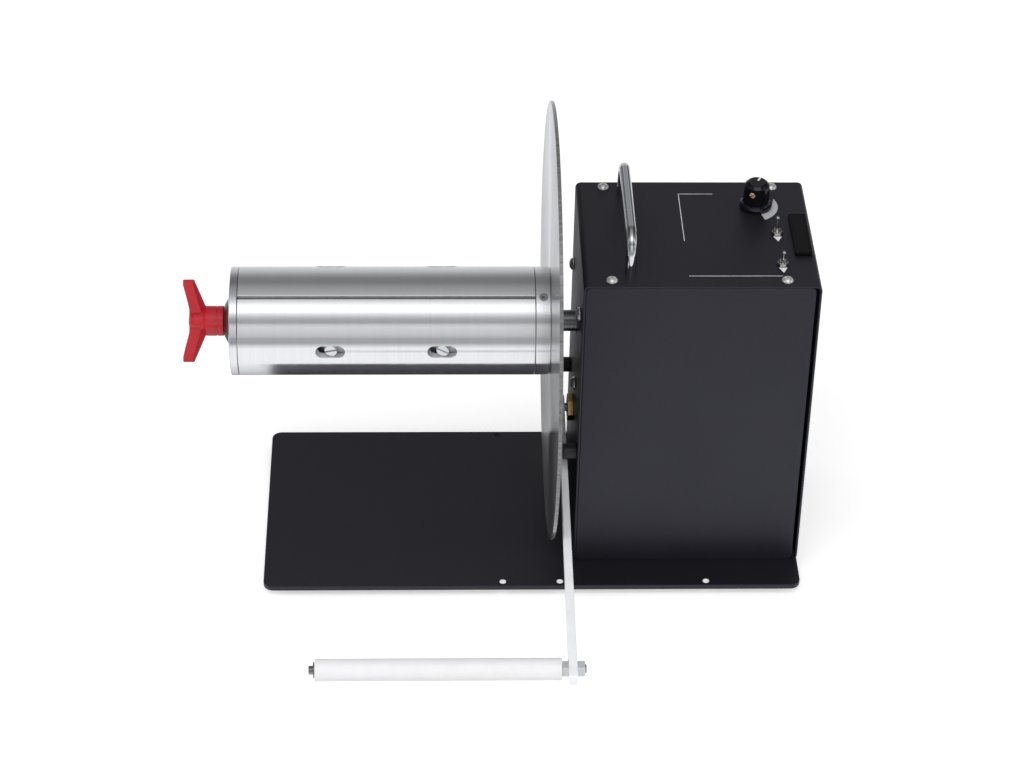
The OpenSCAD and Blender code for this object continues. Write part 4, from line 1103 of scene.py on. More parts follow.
@dataclass
class Base(Part):
    """The base plate and its feet."""

    corner_r: float = 7.0  # radius of the plate's corners
    edge: float = 0.5  # rounding of the plate's rims
    hole_d: float = 4.8  # diameter of a bench hole
    bare: float = 0.12  # thickness of the bright ring that drilling left in a front hole
    hole_edge: float = 4.5  # distance of the holes from the long edges
    hole_xs: Floats = (-21.0, 19.4, 123.0)  # places of the holes along the plate
    foot_inset: float = 18.0  # distance of a foot's middle from the plate's edges
    foot_r: Triple = (5.6, 6.9, 8.0)  # a foot's radius on the floor, over its bevel and at the plate
    foot_bevel: float = 0.8  # height of its bevel

    def build(self) -> None:
        """Makes the plate and the feet."""
        box = NodeBox.of("base_plate")
        outline = rounded(rectangle(*box.size[:2]), self.corner_r, steps=12)
        low, high, r = box.lo[2], box.hi[2], self.hole_d / 2
        plate = to_object("plate", prism(outline, low, high, self.edge))
        row = box.hi[1] - self.hole_edge
        drill = prism(circle(r, 48), low - OVERCUT, high + OVERCUT, edge=0.0)
        combine(plate, [drill.moved(x, side * row) for x in self.hole_xs for side in SIDES])
        dress(plate, Body.FRAME, BLACK_COAT, "base_plate")
        ring = lathe(stepped([low, high], [r], r - self.bare), edge=0.0, steps=48, axis=Axis.Z)
        bright = Shape.joined([ring.moved(x, -row) for x in self.hole_xs])
        dress(to_object("bare_holes", bright), Body.FRAME, STAINLESS)
        self.feet(box)

    def feet(self, plate: NodeBox) -> None:
        """Makes the four rubber feet.

        Args:
            plate: the base plate's box.
        """
        high = NodeBox.of("rubber_feet").hi[2]
        heights = [0, 0, self.foot_bevel, high, high]
        foot = lathe(np.column_stack([heights, [0, *self.foot_r, 0]]), edge=0.4, steps=64, axis=Axis.Z)
        x, y = plate.hi[:2] - self.foot_inset
        feet = Shape.joined([foot.moved(sx * x, sy * y) for sx in SIDES for sy in SIDES])
        dress(to_object("feet", feet), Body.FRAME, RUBBER, "rubber_feet")


@dataclass
class Housing(Part):
    """The folded box, its panels and what is fixed to its top."""

    bend_r: float = 4.0  # outer radius of the wrap's bends
    panel_bend_r: float = 0.5  # outer radius of the panels' bends
    least_bend_r: float = 0.1  # least inner radius of a bend
    panel_corner_r: float = 3.4  # radius of the panels' corners
    left_gap: float = 0.1  # gap between the panels and the left wall
    flange: float = 14.0  # width of the wrap's bottom flanges
    spindle_hole_d: float = 20.0  # diameter of the hole for the spindle
    edge_r: float = 0.3  # rounding of the wrap's cut edges
    lid_screw: ButtonScrew = ButtonScrew(8.0, 2.6, 10.0)  # a screw in the top
    lid_turn: float = 17.0  # turn from one of them to the next
    wall_screw: ButtonScrew = ButtonScrew(9.6, 3.4, 8.0)  # a screw of the bearing
    bolt_r: float = 49.0  # distance of the left wall's screws from the spindle
    bolt_deg: Floats = (260.0, 20.0, 140.0)  # their directions, from +Y towards +Z
    handle_d: float = 7.5  # diameter of the handle's bar
    handle_bend_r: float = 12.0  # radius of the handle's bends
    handle_rise: float = 1.0  # how far the bar stands over its CAD solid
    badge_grow: Pair = (0.8, -2.0)  # how much longer and wider the badge is than its CAD solid
    badge_corner_r: float = 1.6  # radius of the badge's corners
    # insets of the badge's rim, from its foot to its field
    badge_rim: Floats = (0.5, 0.0, 0.0, 0.25, 0.6, 1.2, 1.45)
    # heights of the first two over the foot, and drops of the others below the top
    badge_rise: Floats = (0.0, 0.1, 0.8, 0.2, 0.0, 0.0, 0.35)
    inlet_r: Floats = (5.5, 7.5, 2.8, 1.0)  # radii of the inlet's body, its collar, its socket and its pin
    inlet_t: float = 2.0  # thickness of its collar and of its back
    box: NodeBox = field(default_factory=lambda: NodeBox.of("housing_wrap"))  # the wrap's box

    def build(self) -> None:
        """Makes every piece of the box."""
        self.wrap()
        self.panel("front_panel", 1)
        self.panel("rear_panel", -1)
        self.screws()
        self.handle()
        self.badge()
        self.inlet()

    def wrap(self) -> None:
        """Folds one sheet into side walls, top and bottom flanges."""
        (x0, y0, z0), (x1, y1, z1) = self.box.lo, self.box.hi
        half, lap = SHEET / 2, SHEET + self.flange
        left, right, low, high = x0 + half, x1 - half, z0 + half, z1 - half
        path = [(x0 + lap, low), (left, low), (left, high), (right, high), (right, low), (x1 - lap, low)]
        fold = np.array([(0, 1), (1, 1), (1, -1), (-1, -1), (-1, 1), (0, 1)]) * half
        bends = np.array([0, 1, 1, 1, 1, 0])
        inner = rounded(path + fold, bends * (self.bend_r - SHEET), steps=10)
        outer = rounded(path - fold, bends * self.bend_r, steps=10)
        outline = np.vstack([inner, outer[::-1]])
        made = to_object("wrap", prism(outline[:, ::-1], y0, y1, self.edge_r, Axis.Y))
        _, y, z = NodeBox.of("flange_disc").mid
        bore = circle(self.spindle_hole_d / 2, x=y, y=z)
        combine(made, [prism(bore, x0 - OVERCUT, x0 + SHEET + OVERCUT, 0.0, Axis.X)])
        inside, mid = x1 - x0 - 2 * SHEET, (x0 + x1) / 2
        ends = [rectangle(inside, 2 * self.flange, mid, end) for end in (y0, y1)]
        combine(made, [prism(end, z0 - OVERCUT, z0 + self.bend_r, 0.0) for end in ends])
        dress(made, Body.FRAME, BLACK_COAT, "housing_wrap")

    def panel(self, node: str, ahead: int) -> None:
        """Folds a panel with flanges all round, its bends quarter circles.

        Args:
            node: the CAD node.
            ahead: 1 for the front panel, -1 for the rear one.
        """
        box = NodeBox.of(node)
        face, deep = (box.lo[1] if ahead > 0 else box.hi[1]), box.size[1]
        outer_r, inner_r = self.panel_bend_r, max(self.panel_bend_r - SHEET, self.least_bend_r)
        t = np.linspace(0, np.pi / 2, 7)
        drawn, sunk = 1 - np.sin(t), 1 - np.cos(t)
        insets = np.r_[SHEET + inner_r * drawn, SHEET, 0, outer_r * drawn[::-1]]
        depths = np.r_[SHEET + inner_r * sunk, deep, deep, outer_r * sunk[::-1]]
        left, right = self.box.lo[0] + SHEET + self.left_gap, box.hi[0]
        corners = rectangle(box.size[2], right - left, box.mid[2], (left + right) / 2)
        shape = stack(rounded(corners, self.panel_corner_r), insets, face + ahead * depths, Axis.Y)
        dress(to_object(node.replace("_panel", "_cover"), shape), Body.FRAME, BLACK_COAT, node)

    def screws(self) -> None:
        """Makes the four screws in the top and the three in the left wall."""
        box, r = NodeBox.of("top_screws"), self.lid_screw.head_d / 2
        (x0, y0), (x1, y1) = box.lo[:2] + r, box.hi[:2] - r
        screw, places = self.lid_screw.shape(), [(x0, y0), (x0, y1), (x1, y0), (x1, y1)]
        turned = [screw.turned(Axis.Z, self.lid_turn * i) for i in range(len(places))]
        top = [one.moved(x, y, self.box.hi[2]) for one, (x, y) in zip(turned, places)]
        dress(to_object("lid_screws", Shape.joined(top)), Body.FRAME, STAINLESS, "top_screws")
        axis = NodeBox.of("flange_disc").mid
        screw = self.wall_screw.shape().turned(Axis.Y, -90).moved(self.box.lo[0], self.bolt_r)
        ring = Shape.joined([screw.turned(Axis.X, angle).about(axis) for angle in self.bolt_deg])
        dress(to_object("wall_screws", ring), Body.FRAME, STAINLESS, "bearing_screws")

    def handle(self) -> None:
        """Bends the bow handle from one bar."""
        box, half, bend = NodeBox.of("carry_handle"), self.handle_d / 2, self.handle_bend_r
        y0, y1 = box.lo[1] + half, box.hi[1] - half
        low, bar = box.lo[2], box.hi[2] - half + self.handle_rise
        flat = rounded([(y0, low), (y0, bar), (y1, bar), (y1, low)], [0, bend, bend, 0], steps=18)
        start = int(np.argmin(np.linalg.norm(flat - np.array([y0, low]), axis=1)))
        flat = np.roll(flat, -start, 0)
        path = np.column_stack([np.full(len(flat), box.mid[0]), flat])
        made = to_object("bow", sweep(path, half, across=np.array([1.0, 0.0, 0.0])))
        dress(made, Body.FRAME, CHROME, "carry_handle")

    def badge(self) -> None:
        """Makes the raised plate with a rim, left blank."""
        box, (longer, wider) = NodeBox.of("blank_badge"), self.badge_grow
        shape = rectangle(box.size[0] + longer, box.size[1] + wider, box.mid[0], box.mid[1] - wider / 2)
        outline = rounded(shape, self.badge_corner_r, steps=8)
        rise = np.array(self.badge_rise)
        heights = np.r_[box.lo[2] + rise[:2], box.hi[2] - rise[2:]]
        made = to_object("badge", stack(outline, self.badge_rim, heights))
        dress(made, Body.FRAME, BADGE_BLACK, "blank_badge")

    def inlet(self) -> None:
        """Makes the power inlet on the rear panel."""
        box, (body, collar, socket, pin) = NodeBox.of("dc_inlet"), self.inlet_r
        back, front = box.lo[1], box.hi[1]
        floor, face = back + self.inlet_t, front - self.inlet_t
        outside = [(back, 0), (back, body), (face, body), (face, collar), (front, collar)]
        inside = [(front, socket), (floor, socket), (floor, 0)]
        shell = lathe(outside + inside, edge=0.25, steps=64, axis=Axis.Y)
        needle = stepped([(back + floor) / 2, face], [pin])
        shape = Shape.joined([shell, lathe(needle, edge=0.2, steps=32, axis=Axis.Y)])
        made = to_object("inlet", shape.moved(box.mid[0], 0, box.mid[2]))
        dress(made, Body.FRAME, BLACK_PLASTIC, "dc_inlet")


@dataclass
class Controls(Part):
    """The torque knob, the toggles and the marks printed round them."""

    knob_r: Pair = (9.3, 8.5)  # radius of the torque knob's body at its foot and at its top
    knob_rise: float = 0.7  # how far the knob's cap stands over its CAD solid
    # depths below the knob's top, and how far it is drawn in there
    knob_cap: Pairs = ((2.2, 0.0), (0.5, 1.7), (0.0, 2.6))
    skirt_h: float = 3.2  # height of its skirt
    skirt_bevel: float = 1.0  # height of the skirt's bevel
    fillet: Pair = (0.5, 0.8)  # width and height of the fillet over the skirt
    # length of the knob's white line, its width and its middle's distance from the axis
    pointer: Triple = (4.4, 1.3, 3.6)
    pointer_z: Pair = (-0.05, 0.08)  # its lower and upper face over the knob's top
    pointer_deg: float = 65.0  # its direction, from +X towards +Y
    grub: Pair = (3.2, 0.25)  # inner end of the set screw, and how far it stands out
    grub_slot: Triple = (9.0, 0.7, 0.8)  # length, width and depth of its slot
    grub_turn: float = 40.0  # turn of its slot
    screw_deg: float = -116.0  # direction of the set screw
    pot_flats: float = 10.0  # width of the potentiometer's nut across its flats
    nut_flats: float = 7.2  # width of a toggle's nut across its flats
    # the levers, and the side that each leans to
    levers: tuple[tuple[str, int], ...] = (("toggle_lever_1", -1), ("toggle_lever_2", 1))
    tilt_deg: float = 13.0  # tilt of a toggle lever
    can: Pair = (8.0, 13.0)  # size of a toggle's body
    # radii of a toggle's bush: its bore, its thread's root, its tip and its outside
    bush_r: Floats = (2.6, 2.72, 2.75, 3.0)
    thread: Pair = (2.2, 0.5)  # start of the thread over the top sheet, and its end below the bush's tip
    pitch: float = 0.6  # pitch of the thread
    collar: float = 2.0  # height of the bush's plain part over the top sheet
    ball_r: float = 1.9  # radius of a lever's ball
    ball_end: float = 0.9  # angle that the ball ends at, in radians from the level
    neck: Pair = (2.6, 0.75)  # height and radius of a lever's neck
    bat: Pair = (10.7, 1.3)  # height and radius of the round tip's middle
    film: float = 0.06  # thickness of the printed marks
    scale_deg: Pair = (35.5, -109.5)  # direction of the scale's tip, and the angle that it runs through
    scale_out: Triple = (16.2, -4.5, 6.4)  # its outer radius, as factors of 1, s and s squared
    # its inner radius at the end, its growth towards the tip and the growth's power
    scale_in: Triple = (8.9, 7.3, 3.7)
    arrow: Pairs = ((-2.9, -3.9), (0.0, -10.0), (2.9, -3.9))  # corners of an arrow, from its toggle's middle
    line_w: float = 0.45  # width of the printed lines
    line_l: Pair = (59.0, 24.0)  # lengths of the lines along the left and the back
    lines_box: Floats = (101.2, 164.4, -49.4, 52.5)  # left, right, front and back of the printed frame
    top: float = field(default_factory=lambda: float(NodeBox.of("housing_wrap").hi[2]))  # the top sheet

    def build(self) -> None:
        """Makes every control."""
        self.knob()
        self.nuts()
        self.toggles()
        self.marks()

    def knob(self) -> None:
        """Turns the knob, and adds its line and set screw."""
        box, screw = NodeBox.of("torque_knob"), NodeBox.of("knob_set_screw")
        (x, y, _), low, high = box.mid, box.lo[2], box.size[2] + self.knob_rise
        skirt, (foot, top), (out, up) = box.size[0] / 2, self.knob_r, self.fillet
        profile = [(0, 0), (0, skirt), (self.skirt_h - self.skirt_bevel, skirt)]
        profile += [(self.skirt_h, foot + out), (self.skirt_h + up, foot)]
        profile += [(high - drop, top - inset) for drop, inset in self.knob_cap] + [(high, 0)]
        body = lathe(profile, edge=0.25, steps=128, axis=Axis.Z).moved(x, y, low)
        dress(to_object("knob", body, sharp_deg=50.0), Body.TORQUE, GLOSS_BLACK, "torque_knob")
        outline = rounded(rectangle(*self.pointer), 0.2, steps=2)
        line = prism(outline, *(high + np.array(self.pointer_z)), edge=0.02)
        pointer = line.turned(Axis.Z, self.pointer_deg).moved(x, y, low)
        dress(to_object("pointer", pointer), Body.TORQUE, WHITE_INK)
        end, (long, wide, deep) = (foot + top) / 2 + self.grub[1], self.grub_slot
        made = to_object("grub", lathe(stepped([self.grub[0], end], [screw.size[2] / 2]), edge=0.4, steps=40))
        slot = prism(rectangle(long, wide), end - deep, end + OVERCUT, 0.0, Axis.X)
        combine(made, [slot.turned(Axis.X, self.grub_turn)])
        grub = shape_of(made).turned(Axis.Z, self.screw_deg).moved(x, y, screw.mid[2])
        dress(to_object("grub_screw", grub), Body.TORQUE, GRUB_BRASS, "knob_set_screw")

    def nuts(self) -> None:
        """Makes the nuts that hold the potentiometer and the toggles."""
        knob, box = NodeBox.of("torque_knob").mid, NodeBox.of("panel_nuts")
        low, high = box.lo[2], box.hi[2]
        nuts = [prism(hexagon(self.pot_flats) + knob[:2], low, high, edge=0.25)]
        places = [joint_at(lever)[:2] for lever, _ in self.levers]
        nuts += [prism(hexagon(self.nut_flats) + place, low, high, edge=0.5) for place in places]
        dress(to_object("lock_nuts", Shape.joined(nuts)), Body.FRAME, NICKEL, "panel_nuts")

    def toggles(self) -> None:
        """Makes both switches: body, threaded bush and bat lever."""
        box, (bore, root, tip, outside) = NodeBox.of("toggle_bodies"), self.bush_r
        under, rise = self.top - SHEET, box.hi[2]
        turns = np.arange(self.top + self.thread[0], rise - self.thread[1], self.pitch)
        heights = np.stack([turns, turns + self.pitch / 2], -1).ravel()
        thread = np.column_stack([heights, np.tile([outside, root], len(turns))])
        plain = [(under, bore), (under, outside), (self.top + self.collar, outside)]
        bush = lathe([*plain, *thread, (rise, tip), (rise, bore)], edge=0.05, steps=48, axis=Axis.Z)
        can = prism(rounded(rectangle(*self.can), 0.5, steps=3), box.lo[2], under)
        parts = []
        for lever, side in self.levers:
            x, y, z = joint_at(lever)
            parts += [can.moved(x, y), bush.moved(x, y)]
            bat = self.lever().turned(Axis.X, side * self.tilt_deg).moved(x, y, z)
            dress(to_object(f"bat_{lever[-1]}", bat), lever, CHROME, lever)
        dress(to_object("switches", Shape.joined(parts)), Body.FRAME, NICKEL, "toggle_bodies")

    def lever(self) -> Shape:
        """Turns one bat lever.

        Returns:
            The lever along Z, its pivot at the origin.
        """
        height, radius = self.bat
        ball = arc(self.ball_r, -np.pi / 2, self.ball_end)
        tip = arc(radius, 0, np.pi / 2, height)
        return lathe([*ball, self.neck, *tip], edge=0.0, steps=40, axis=Axis.Z)

    def marks(self) -> None:
        """Prints the plain marks: a scale, two arrows and three frame lines.

        The scale widens along a share s from its tip to its end. Its outer radius is a square law in s, and
        its inner radius falls with a power of 1 - s.
        """
        s = np.linspace(0, 1, 40)
        t = np.radians(self.scale_deg[0] + self.scale_deg[1] * s)
        outer = self.scale_out[0] + self.scale_out[1] * s + self.scale_out[2] * s**2
        inner = self.scale_in[0] + self.scale_in[1] * (1 - s) ** self.scale_in[2]
        rims = [np.stack([radius * np.cos(t), radius * np.sin(t)], -1) for radius in (outer, inner)]
        scale = np.vstack([rims[0][1:], rims[1][::-1]]) + NodeBox.of("torque_knob").mid[:2]
        dress(to_object("scale_print", self.printed([scale])), Body.FRAME, GREY_INK)
        (left, right, front, back), (side_l, back_l) = self.lines_box, self.line_l
        shapes = [joint_at(lever)[:2] + np.array(self.arrow) for lever, _ in self.levers]
        shapes += [
            rectangle(self.line_w, side_l, left, back - side_l / 2),
            rectangle(back_l, self.line_w, left + back_l / 2, back),
            rectangle(right - left, self.line_w, (left + right) / 2, front),
        ]
        dress(to_object("line_print", self.printed(shapes)), Body.FRAME, WHITE_INK)

    def printed(self, outlines: Sequence[np.ndarray]) -> Shape:
        """Prints outlines on the top sheet."""
        return Shape.joined([prism(flat, self.top, self.top + self.film, edge=0.01) for flat in outlines])


@dataclass
class Chuck(Part):
    """The spindle, the disc and the expanding chuck."""

    spindle_r: Pair = (6.0, 7.5)  # radii of the spindle in its bearings and between disc and bearings
    bore_r: float = 6.03  # radius of the holes that go on it
    plug_r: float = 3.0  # radius of the rear ring's set screw
    plug_gap: float = 0.05  # gap round it
    plug_l: float = 12.0  # its length
    plug_sink: float = 0.8  # how far it lies below the ring's surface
    plug_socket: Pair = (3.0, 2.5)  # width and depth of its socket
    plug_hole: float = 4.0  # depth of the hole for it
    plug_deg: float = -60.0  # its direction, from the front downwards
    split: float = 2.2  # width of the splits between the segments
    wall: float = 5.5  # wall of a segment
    lip_r: float = 0.5  # rounding of the splits' outer edges
    skin: float = 0.1  # how far the bare metal in the splits starts below those edges
    angles: Triple = (0.0, 120.0, 240.0)  # the segments' middles, from the front upwards
    slot: Pair = (20.0, 9.6)  # length and width of a segment's slots
    slot_reach: Pair = (-10.0, 30.0)  # reach of their cutter below and above the ramp
    slot_drop: Pair = (73.5, 150.5)  # distances of the slots from the disc
    ramp_sink: float = 7.4  # depth of the ramps below the segment's surface, at the slots' middles
    ramp_rise: float = 0.21  # rise of the ramps for each unit along them
    head_d: float = 8.9  # diameter of a segment screw's head
    head_sink: float = 1.3  # how far its top lies below the segment's surface
    head_h: float = 2.6  # its height
    shank_r: float = 2.0  # radius of its shank
    shank_in: float = 7.5  # how far its shank goes into the ramp
    driver: Pair = (1.2, 1.1)  # width and depth of its driver slot
    driver_deg: Pair = (20.0, -18.0)  # turn of the driver slots at each place
    groove: Pair = (0.6, 1.2)  # width and depth of the groove between ring and disc
    nose_l: float = 5.0  # length of the end cap's nose
    cap_bore: float = 4.3  # radius of the cap's and washer's hole
    cap_bevel: Pair = (0.3, 0.4)  # length and depth of the bevel on the cap's rim
    cone: Pair = (2.2, 17.0)  # length of the cap's cone and its radius at the washer
    # the washer's near-black colour is painted shade in the gap between cap and knob
    washer_r: Pair = (11.4, 16.5)  # radii of the washer on the nose, at the knob and at the cap
    rim: float = 0.2  # thickness of the disc's rim, which has its own look
    disc: NodeBox = field(default_factory=lambda: NodeBox.of("flange_disc"))  # the disc's box
    # the chuck's radius
    radius: float = field(default_factory=lambda: float(NodeBox.of("chuck_rear_ring").size[2]) / 2)

    def build(self) -> None:
        """Makes every piece on the spindle."""
        self.shaft()
        self.plate()
        self.ring()
        self.cap()
        for number, angle in enumerate(self.angles, start=1):
            self.segment(number, angle)
        self.screws()

    def shaft(self) -> None:
        """Turns the spindle."""
        box, (thin, thick) = NodeBox.of("spindle"), self.spindle_r
        shoulder = NodeBox.of("bearing_inner_rings").lo[0]
        profile = stepped([box.lo[0], self.disc.hi[0], shoulder, box.hi[0]], [thin, thick, thin])
        dress(to_object("shaft", lathe(profile).about(self.disc.mid)), Body.SPINDLE, STEEL, "spindle")

    def plate(self) -> None:
        """Turns the flange disc."""
        (_, y, z), r = self.disc.mid, self.disc.size[2] / 2
        profile = stepped([self.disc.lo[0], self.disc.hi[0]], [r], self.bore_r)
        shape = lathe(profile, edge=0.35, steps=320).about(self.disc.mid)
        finish = replace(DISC_METAL, y=y, z=z, rim_r=r - self.rim)
        dress(to_object("disc", shape, sharp_deg=40.0), Body.SPINDLE, finish, "flange_disc")

    def ring(self) -> None:
        """Turns the rear ring and its set screw."""
        box, r, (wide, deep) = NodeBox.of("chuck_rear_ring"), self.radius, self.groove
        profile = stepped([box.lo[0], box.hi[0] - wide, box.hi[0]], [r, r - deep], self.bore_r)
        made = to_object("rear_ring", lathe(profile, edge=0.2, steps=192).about(self.disc.mid))
        hole = circle(self.plug_r + self.plug_gap, 40)
        drill = prism(hole, r - self.plug_hole, r + OVERCUT, 0.0, Axis.Y)
        combine(made, [self.in_ring(drill, box)])
        dress(made, Body.SPINDLE, CHUCK_METAL, "chuck_rear_ring")
        end, (flats, depth) = r - self.plug_sink, self.plug_socket
        plug = to_object("plug", prism(circle(self.plug_r, 40), end - self.plug_l, end, axis=Axis.Y))
        combine(plug, [prism(hexagon(flats), end - depth, end + OVERCUT, 0.0, Axis.Y)])
        shape = self.in_ring(shape_of(plug), box)
        dress(to_object("ring_plug", shape), Body.SPINDLE, GRUB_STEEL, "ring_set_screw")

    def in_ring(self, shape: Shape, ring: NodeBox) -> Shape:
        """Puts a shape into the rear ring, along the set screw's direction."""
        return shape.mirrored().turned(Axis.X, self.plug_deg).moved(ring.mid[0]).about(self.disc.mid)

    def cap(self) -> None:
        """Turns the end cap, and a washer between it and the knob whose near-black colour is painted shade in
        the gap there.
        """
        box, r, bore = NodeBox.of("chuck_cap"), self.radius, self.cap_bore
        nose, back, shoulder = box.lo[0], box.hi[0], box.lo[0] + self.nose_l
        face, bevel = shoulder - self.cone[0], (shoulder - self.cap_bevel[0], r - self.cap_bevel[1])
        profile = [(face, bore), (face, self.cone[1]), bevel, (shoulder, r), (back, r), (back, bore)]
        shape = lathe(profile, edge=0.2, steps=192).about(self.disc.mid)
        dress(to_object("end_cap", shape), Body.SPINDLE, CAP_METAL, "chuck_cap")
        outer, inner = self.washer_r
        washer = lathe([(nose, bore), (nose, outer), (face, inner), (face, bore)], steps=128)
        # near-black washer: painted shade in the gap between the cap and the knob
        dress(to_object("thrust_washer", washer.about(self.disc.mid)), Body.SPINDLE, SHADE_BLACK)

    def segment(self, number: int, angle: float) -> None:
        """Makes one third of the chuck's shell with its two slots.

        Its cross section runs along two arcs, -r cos t and r sin t, each short of the splits by half a split.

        Args:
            number: the segment's number.
            angle: the middle of the segment, from the front upwards.
        """
        node, third = f"chuck_segment_{number}", np.pi / 3
        box, r = NodeBox.of(node), self.radius
        arcs = []
        for radius, steps in ((r, 64), (r - self.wall, 24)):
            end = third - math.asin(self.split / 2 / radius)
            t = np.linspace(-end, end, steps)
            arcs.append(np.stack([-radius * np.cos(t), radius * np.sin(t)], -1))
        outline = np.vstack([arcs[0], arcs[1][::-1]])
        radii = np.zeros(len(outline))
        radii[[0, len(arcs[0]) - 1]] = self.lip_r
        made = to_object("shell", prism(rounded(outline, radii), box.lo[0], box.hi[0], 0.4, Axis.X))
        length, width = self.slot
        slot = rounded(rectangle(width, length), width / 2 - 0.01, steps=12)
        tool = prism(slot, *self.slot_reach, 0.0, Axis.Y)
        combine(made, [self.on_ramp(tool, x) for x in self.slot_places()])
        shape = shape_of(made).turned(Axis.X, -angle).about(self.disc.mid)
        _, y, z = self.disc.mid
        skin_r = r - self.lip_r - self.skin
        finish = replace(CHUCK_METAL, name="polished_shell", y=y, z=z, skin_r=skin_r)
        dress(to_object(f"shell_{number}", shape), node, finish, node)

    def slot_places(self) -> list[float]:
        """Lists the slots' middles."""
        return [self.disc.lo[0] - drop for drop in self.slot_drop]

    def on_ramp(self, shape: Shape, x: float) -> Shape:
        """Stands a shape on the ramp of the front segment."""
        lean = -math.degrees(math.atan(self.ramp_rise))
        return shape.mirrored().turned(Axis.Z, lean).moved(x, self.ramp_sink - self.radius)

    def screws(self) -> None:
        """Makes the six slotted screws that hold the segments."""
        placed = []
        for x, turn in zip(self.slot_places(), self.driver_deg):
            screw = self.on_ramp(self.screw(turn), x)
            placed += [screw.turned(Axis.X, -angle).about(self.disc.mid) for angle in self.angles]
        dress(to_object("shell_screws", Shape.joined(placed)), Body.EXPANDER, ZINC, "segment_screws")

    def screw(self, turn: float) -> Shape:
        """Makes one slotted screw.

        Args:
            turn: turn of its driver slot.

        Returns:
            The screw along Y, with the origin where it goes into the ramp.
        """
        r, top, (width, depth) = self.head_d / 2, self.ramp_sink - self.head_sink, self.driver
        profile = stepped([-self.shank_in, top - self.head_h, top], [self.shank_r, r])
        made = to_object("cheese_head", lathe(profile, edge=0.35, steps=56, axis=Axis.Y))
        slot = prism(rectangle(width, 3 * r), top - depth, top + OVERCUT, 0.0, Axis.Y)
        combine(made, [slot.turned(Axis.Y, turn)])
        return shape_of(made)


@dataclass
class WingKnob(Part):
    """The red two-winged knob."""

    gap: float = 0.2  # gap between the knob and the chuck's nose
    hub_d: float = 21.0  # diameter of the hub
    hub_l: float = 12.3  # length of the hub's round part
    neck: Pair = (2.0, 7.2)  # length and radius of the step between hub and boss
    # distances behind the boss's face, and its radii there
    boss: Pairs = ((0.0, 3.0), (1.4, 6.0), (4.0, 7.0))
    boss_rise: float = 0.4  # how far the boss stands ahead of the wings' middle
    groove: float = 0.5  # depth of the fine groove round the hub
    groove_at: Pair = (5.2, 4.5)  # distances of the groove's sides from the hub's back
    span: float = 57.5  # distance over both wings
    wing_t: float = 7.6  # thickness of a wing
    tip_w: float = 7.4  # width of a wing at its tip
    mid_w: float = 9.0  # width of the wings across the middle
    sweep: float = 4.6  # how far the tips lie ahead of the middle
    root: float = 8.0  # half length of the wings' middle
    crown: float = 0.8  # how much wider the middle is than the wings' roots
    bevel: Pair = (3.2, 1.4)  # length and thickness of the bevel at a tip
    core: float = 4.2  # how much wider the wings are at mid thickness
    core_tip: float = 0.15  # share of that at the tips
    corner_r: Pair = (0.8, 3.0)  # radii of the tips' and the roots' corners
    turn_deg: float = 125.0  # turn of the wings from the front, upwards
    voxel: float = 0.32  # size of the cells that the parts are blended with
    soften: tuple[float, int] = (0.5, 4)  # factor and rounds of the smoothing after that
    box: NodeBox = field(default_factory=lambda: NodeBox.of("wing_knob"))  # the knob's box

    @property
    def back(self) -> float:
        """Place of the hub's back along X."""
        return self.box.hi[0] - self.gap

    def build(self) -> None:
        """Blends a hub and two swept wings into one moulding."""
        parts = [self.hub(), self.wings().turned(Axis.X, -self.turn_deg)]
        made = to_object("wing_blend", Shape.joined(parts))
        blend = made.modifiers.new("blend", "REMESH")
        blend.mode = "VOXEL"
        blend.voxel_size = self.voxel * MM
        soft = made.modifiers.new("soften", "SMOOTH")
        soft.factor, soft.iterations = self.soften
        settle(made)
        r, sides = self.hub_d / 2, [self.back - drop for drop in self.groove_at]
        combine(made, [lathe(stepped(sides, [r + OVERCUT], r - self.groove), edge=0.0)])
        shape = shape_of(made).about(NodeBox.of("flange_disc").mid)
        dress(to_object("wings", shape, sharp_deg=40.0), Body.WING, RED, "wing_knob")

    def hub(self) -> Shape:
        """Turns the hub, with a rounded boss between the wings.

        Returns:
            The hub about the X axis.
        """
        back, r = self.back, self.hub_d / 2
        neck, face = back - self.hub_l, self.box.lo[0] + self.sweep - self.boss_rise
        front = [(face, 0)] + [(face + behind, radius) for behind, radius in self.boss]
        rear = [(neck - self.neck[0], self.neck[1]), (neck, r), (back, r), (back, 0)]
        return lathe(front + rear, edge=0.5)

    def wings(self) -> Shape:
        """Lofts both wings as one chevron, bevelled at the tips and wider at mid thickness.

        Returns:
            The wings along Y, about the X axis.
        """
        reach, half, (bevel, edge) = self.span / 2, self.wing_t / 2, self.bevel
        face = self.chevron(reach - bevel, 0.0)
        side = self.chevron(reach, 0.0)
        core = self.chevron(reach, self.core)
        rings = np.stack([face, side, core, side, face])
        return loft(rings, [-half, edge - half, 0.0, half - edge, half])

    def chevron(self, reach: float, spread: float) -> np.ndarray:
        """Draws both wings seen from the side.

        Args:
            reach: distance of the tips from the axis.
            spread: how much wider the wings grow towards the hub.

        Returns:
            The outline in the X-Y plane.
        """
        tip, root = self.box.lo[0], self.root
        middle = tip + self.sweep
        heel = tip + self.tip_w + self.core_tip * spread
        hip = middle + self.mid_w - self.crown + spread
        far = [(tip, -reach), (heel, -reach), (hip, -root), (hip + self.crown, 0.0)]
        near = [(hip, root), (heel, reach), (tip, reach), (middle, root), (middle, -root)]
        end, bend = self.corner_r
        return rounded(far + near, [end, end, bend, bend, bend, end, end, bend, bend], steps=5)


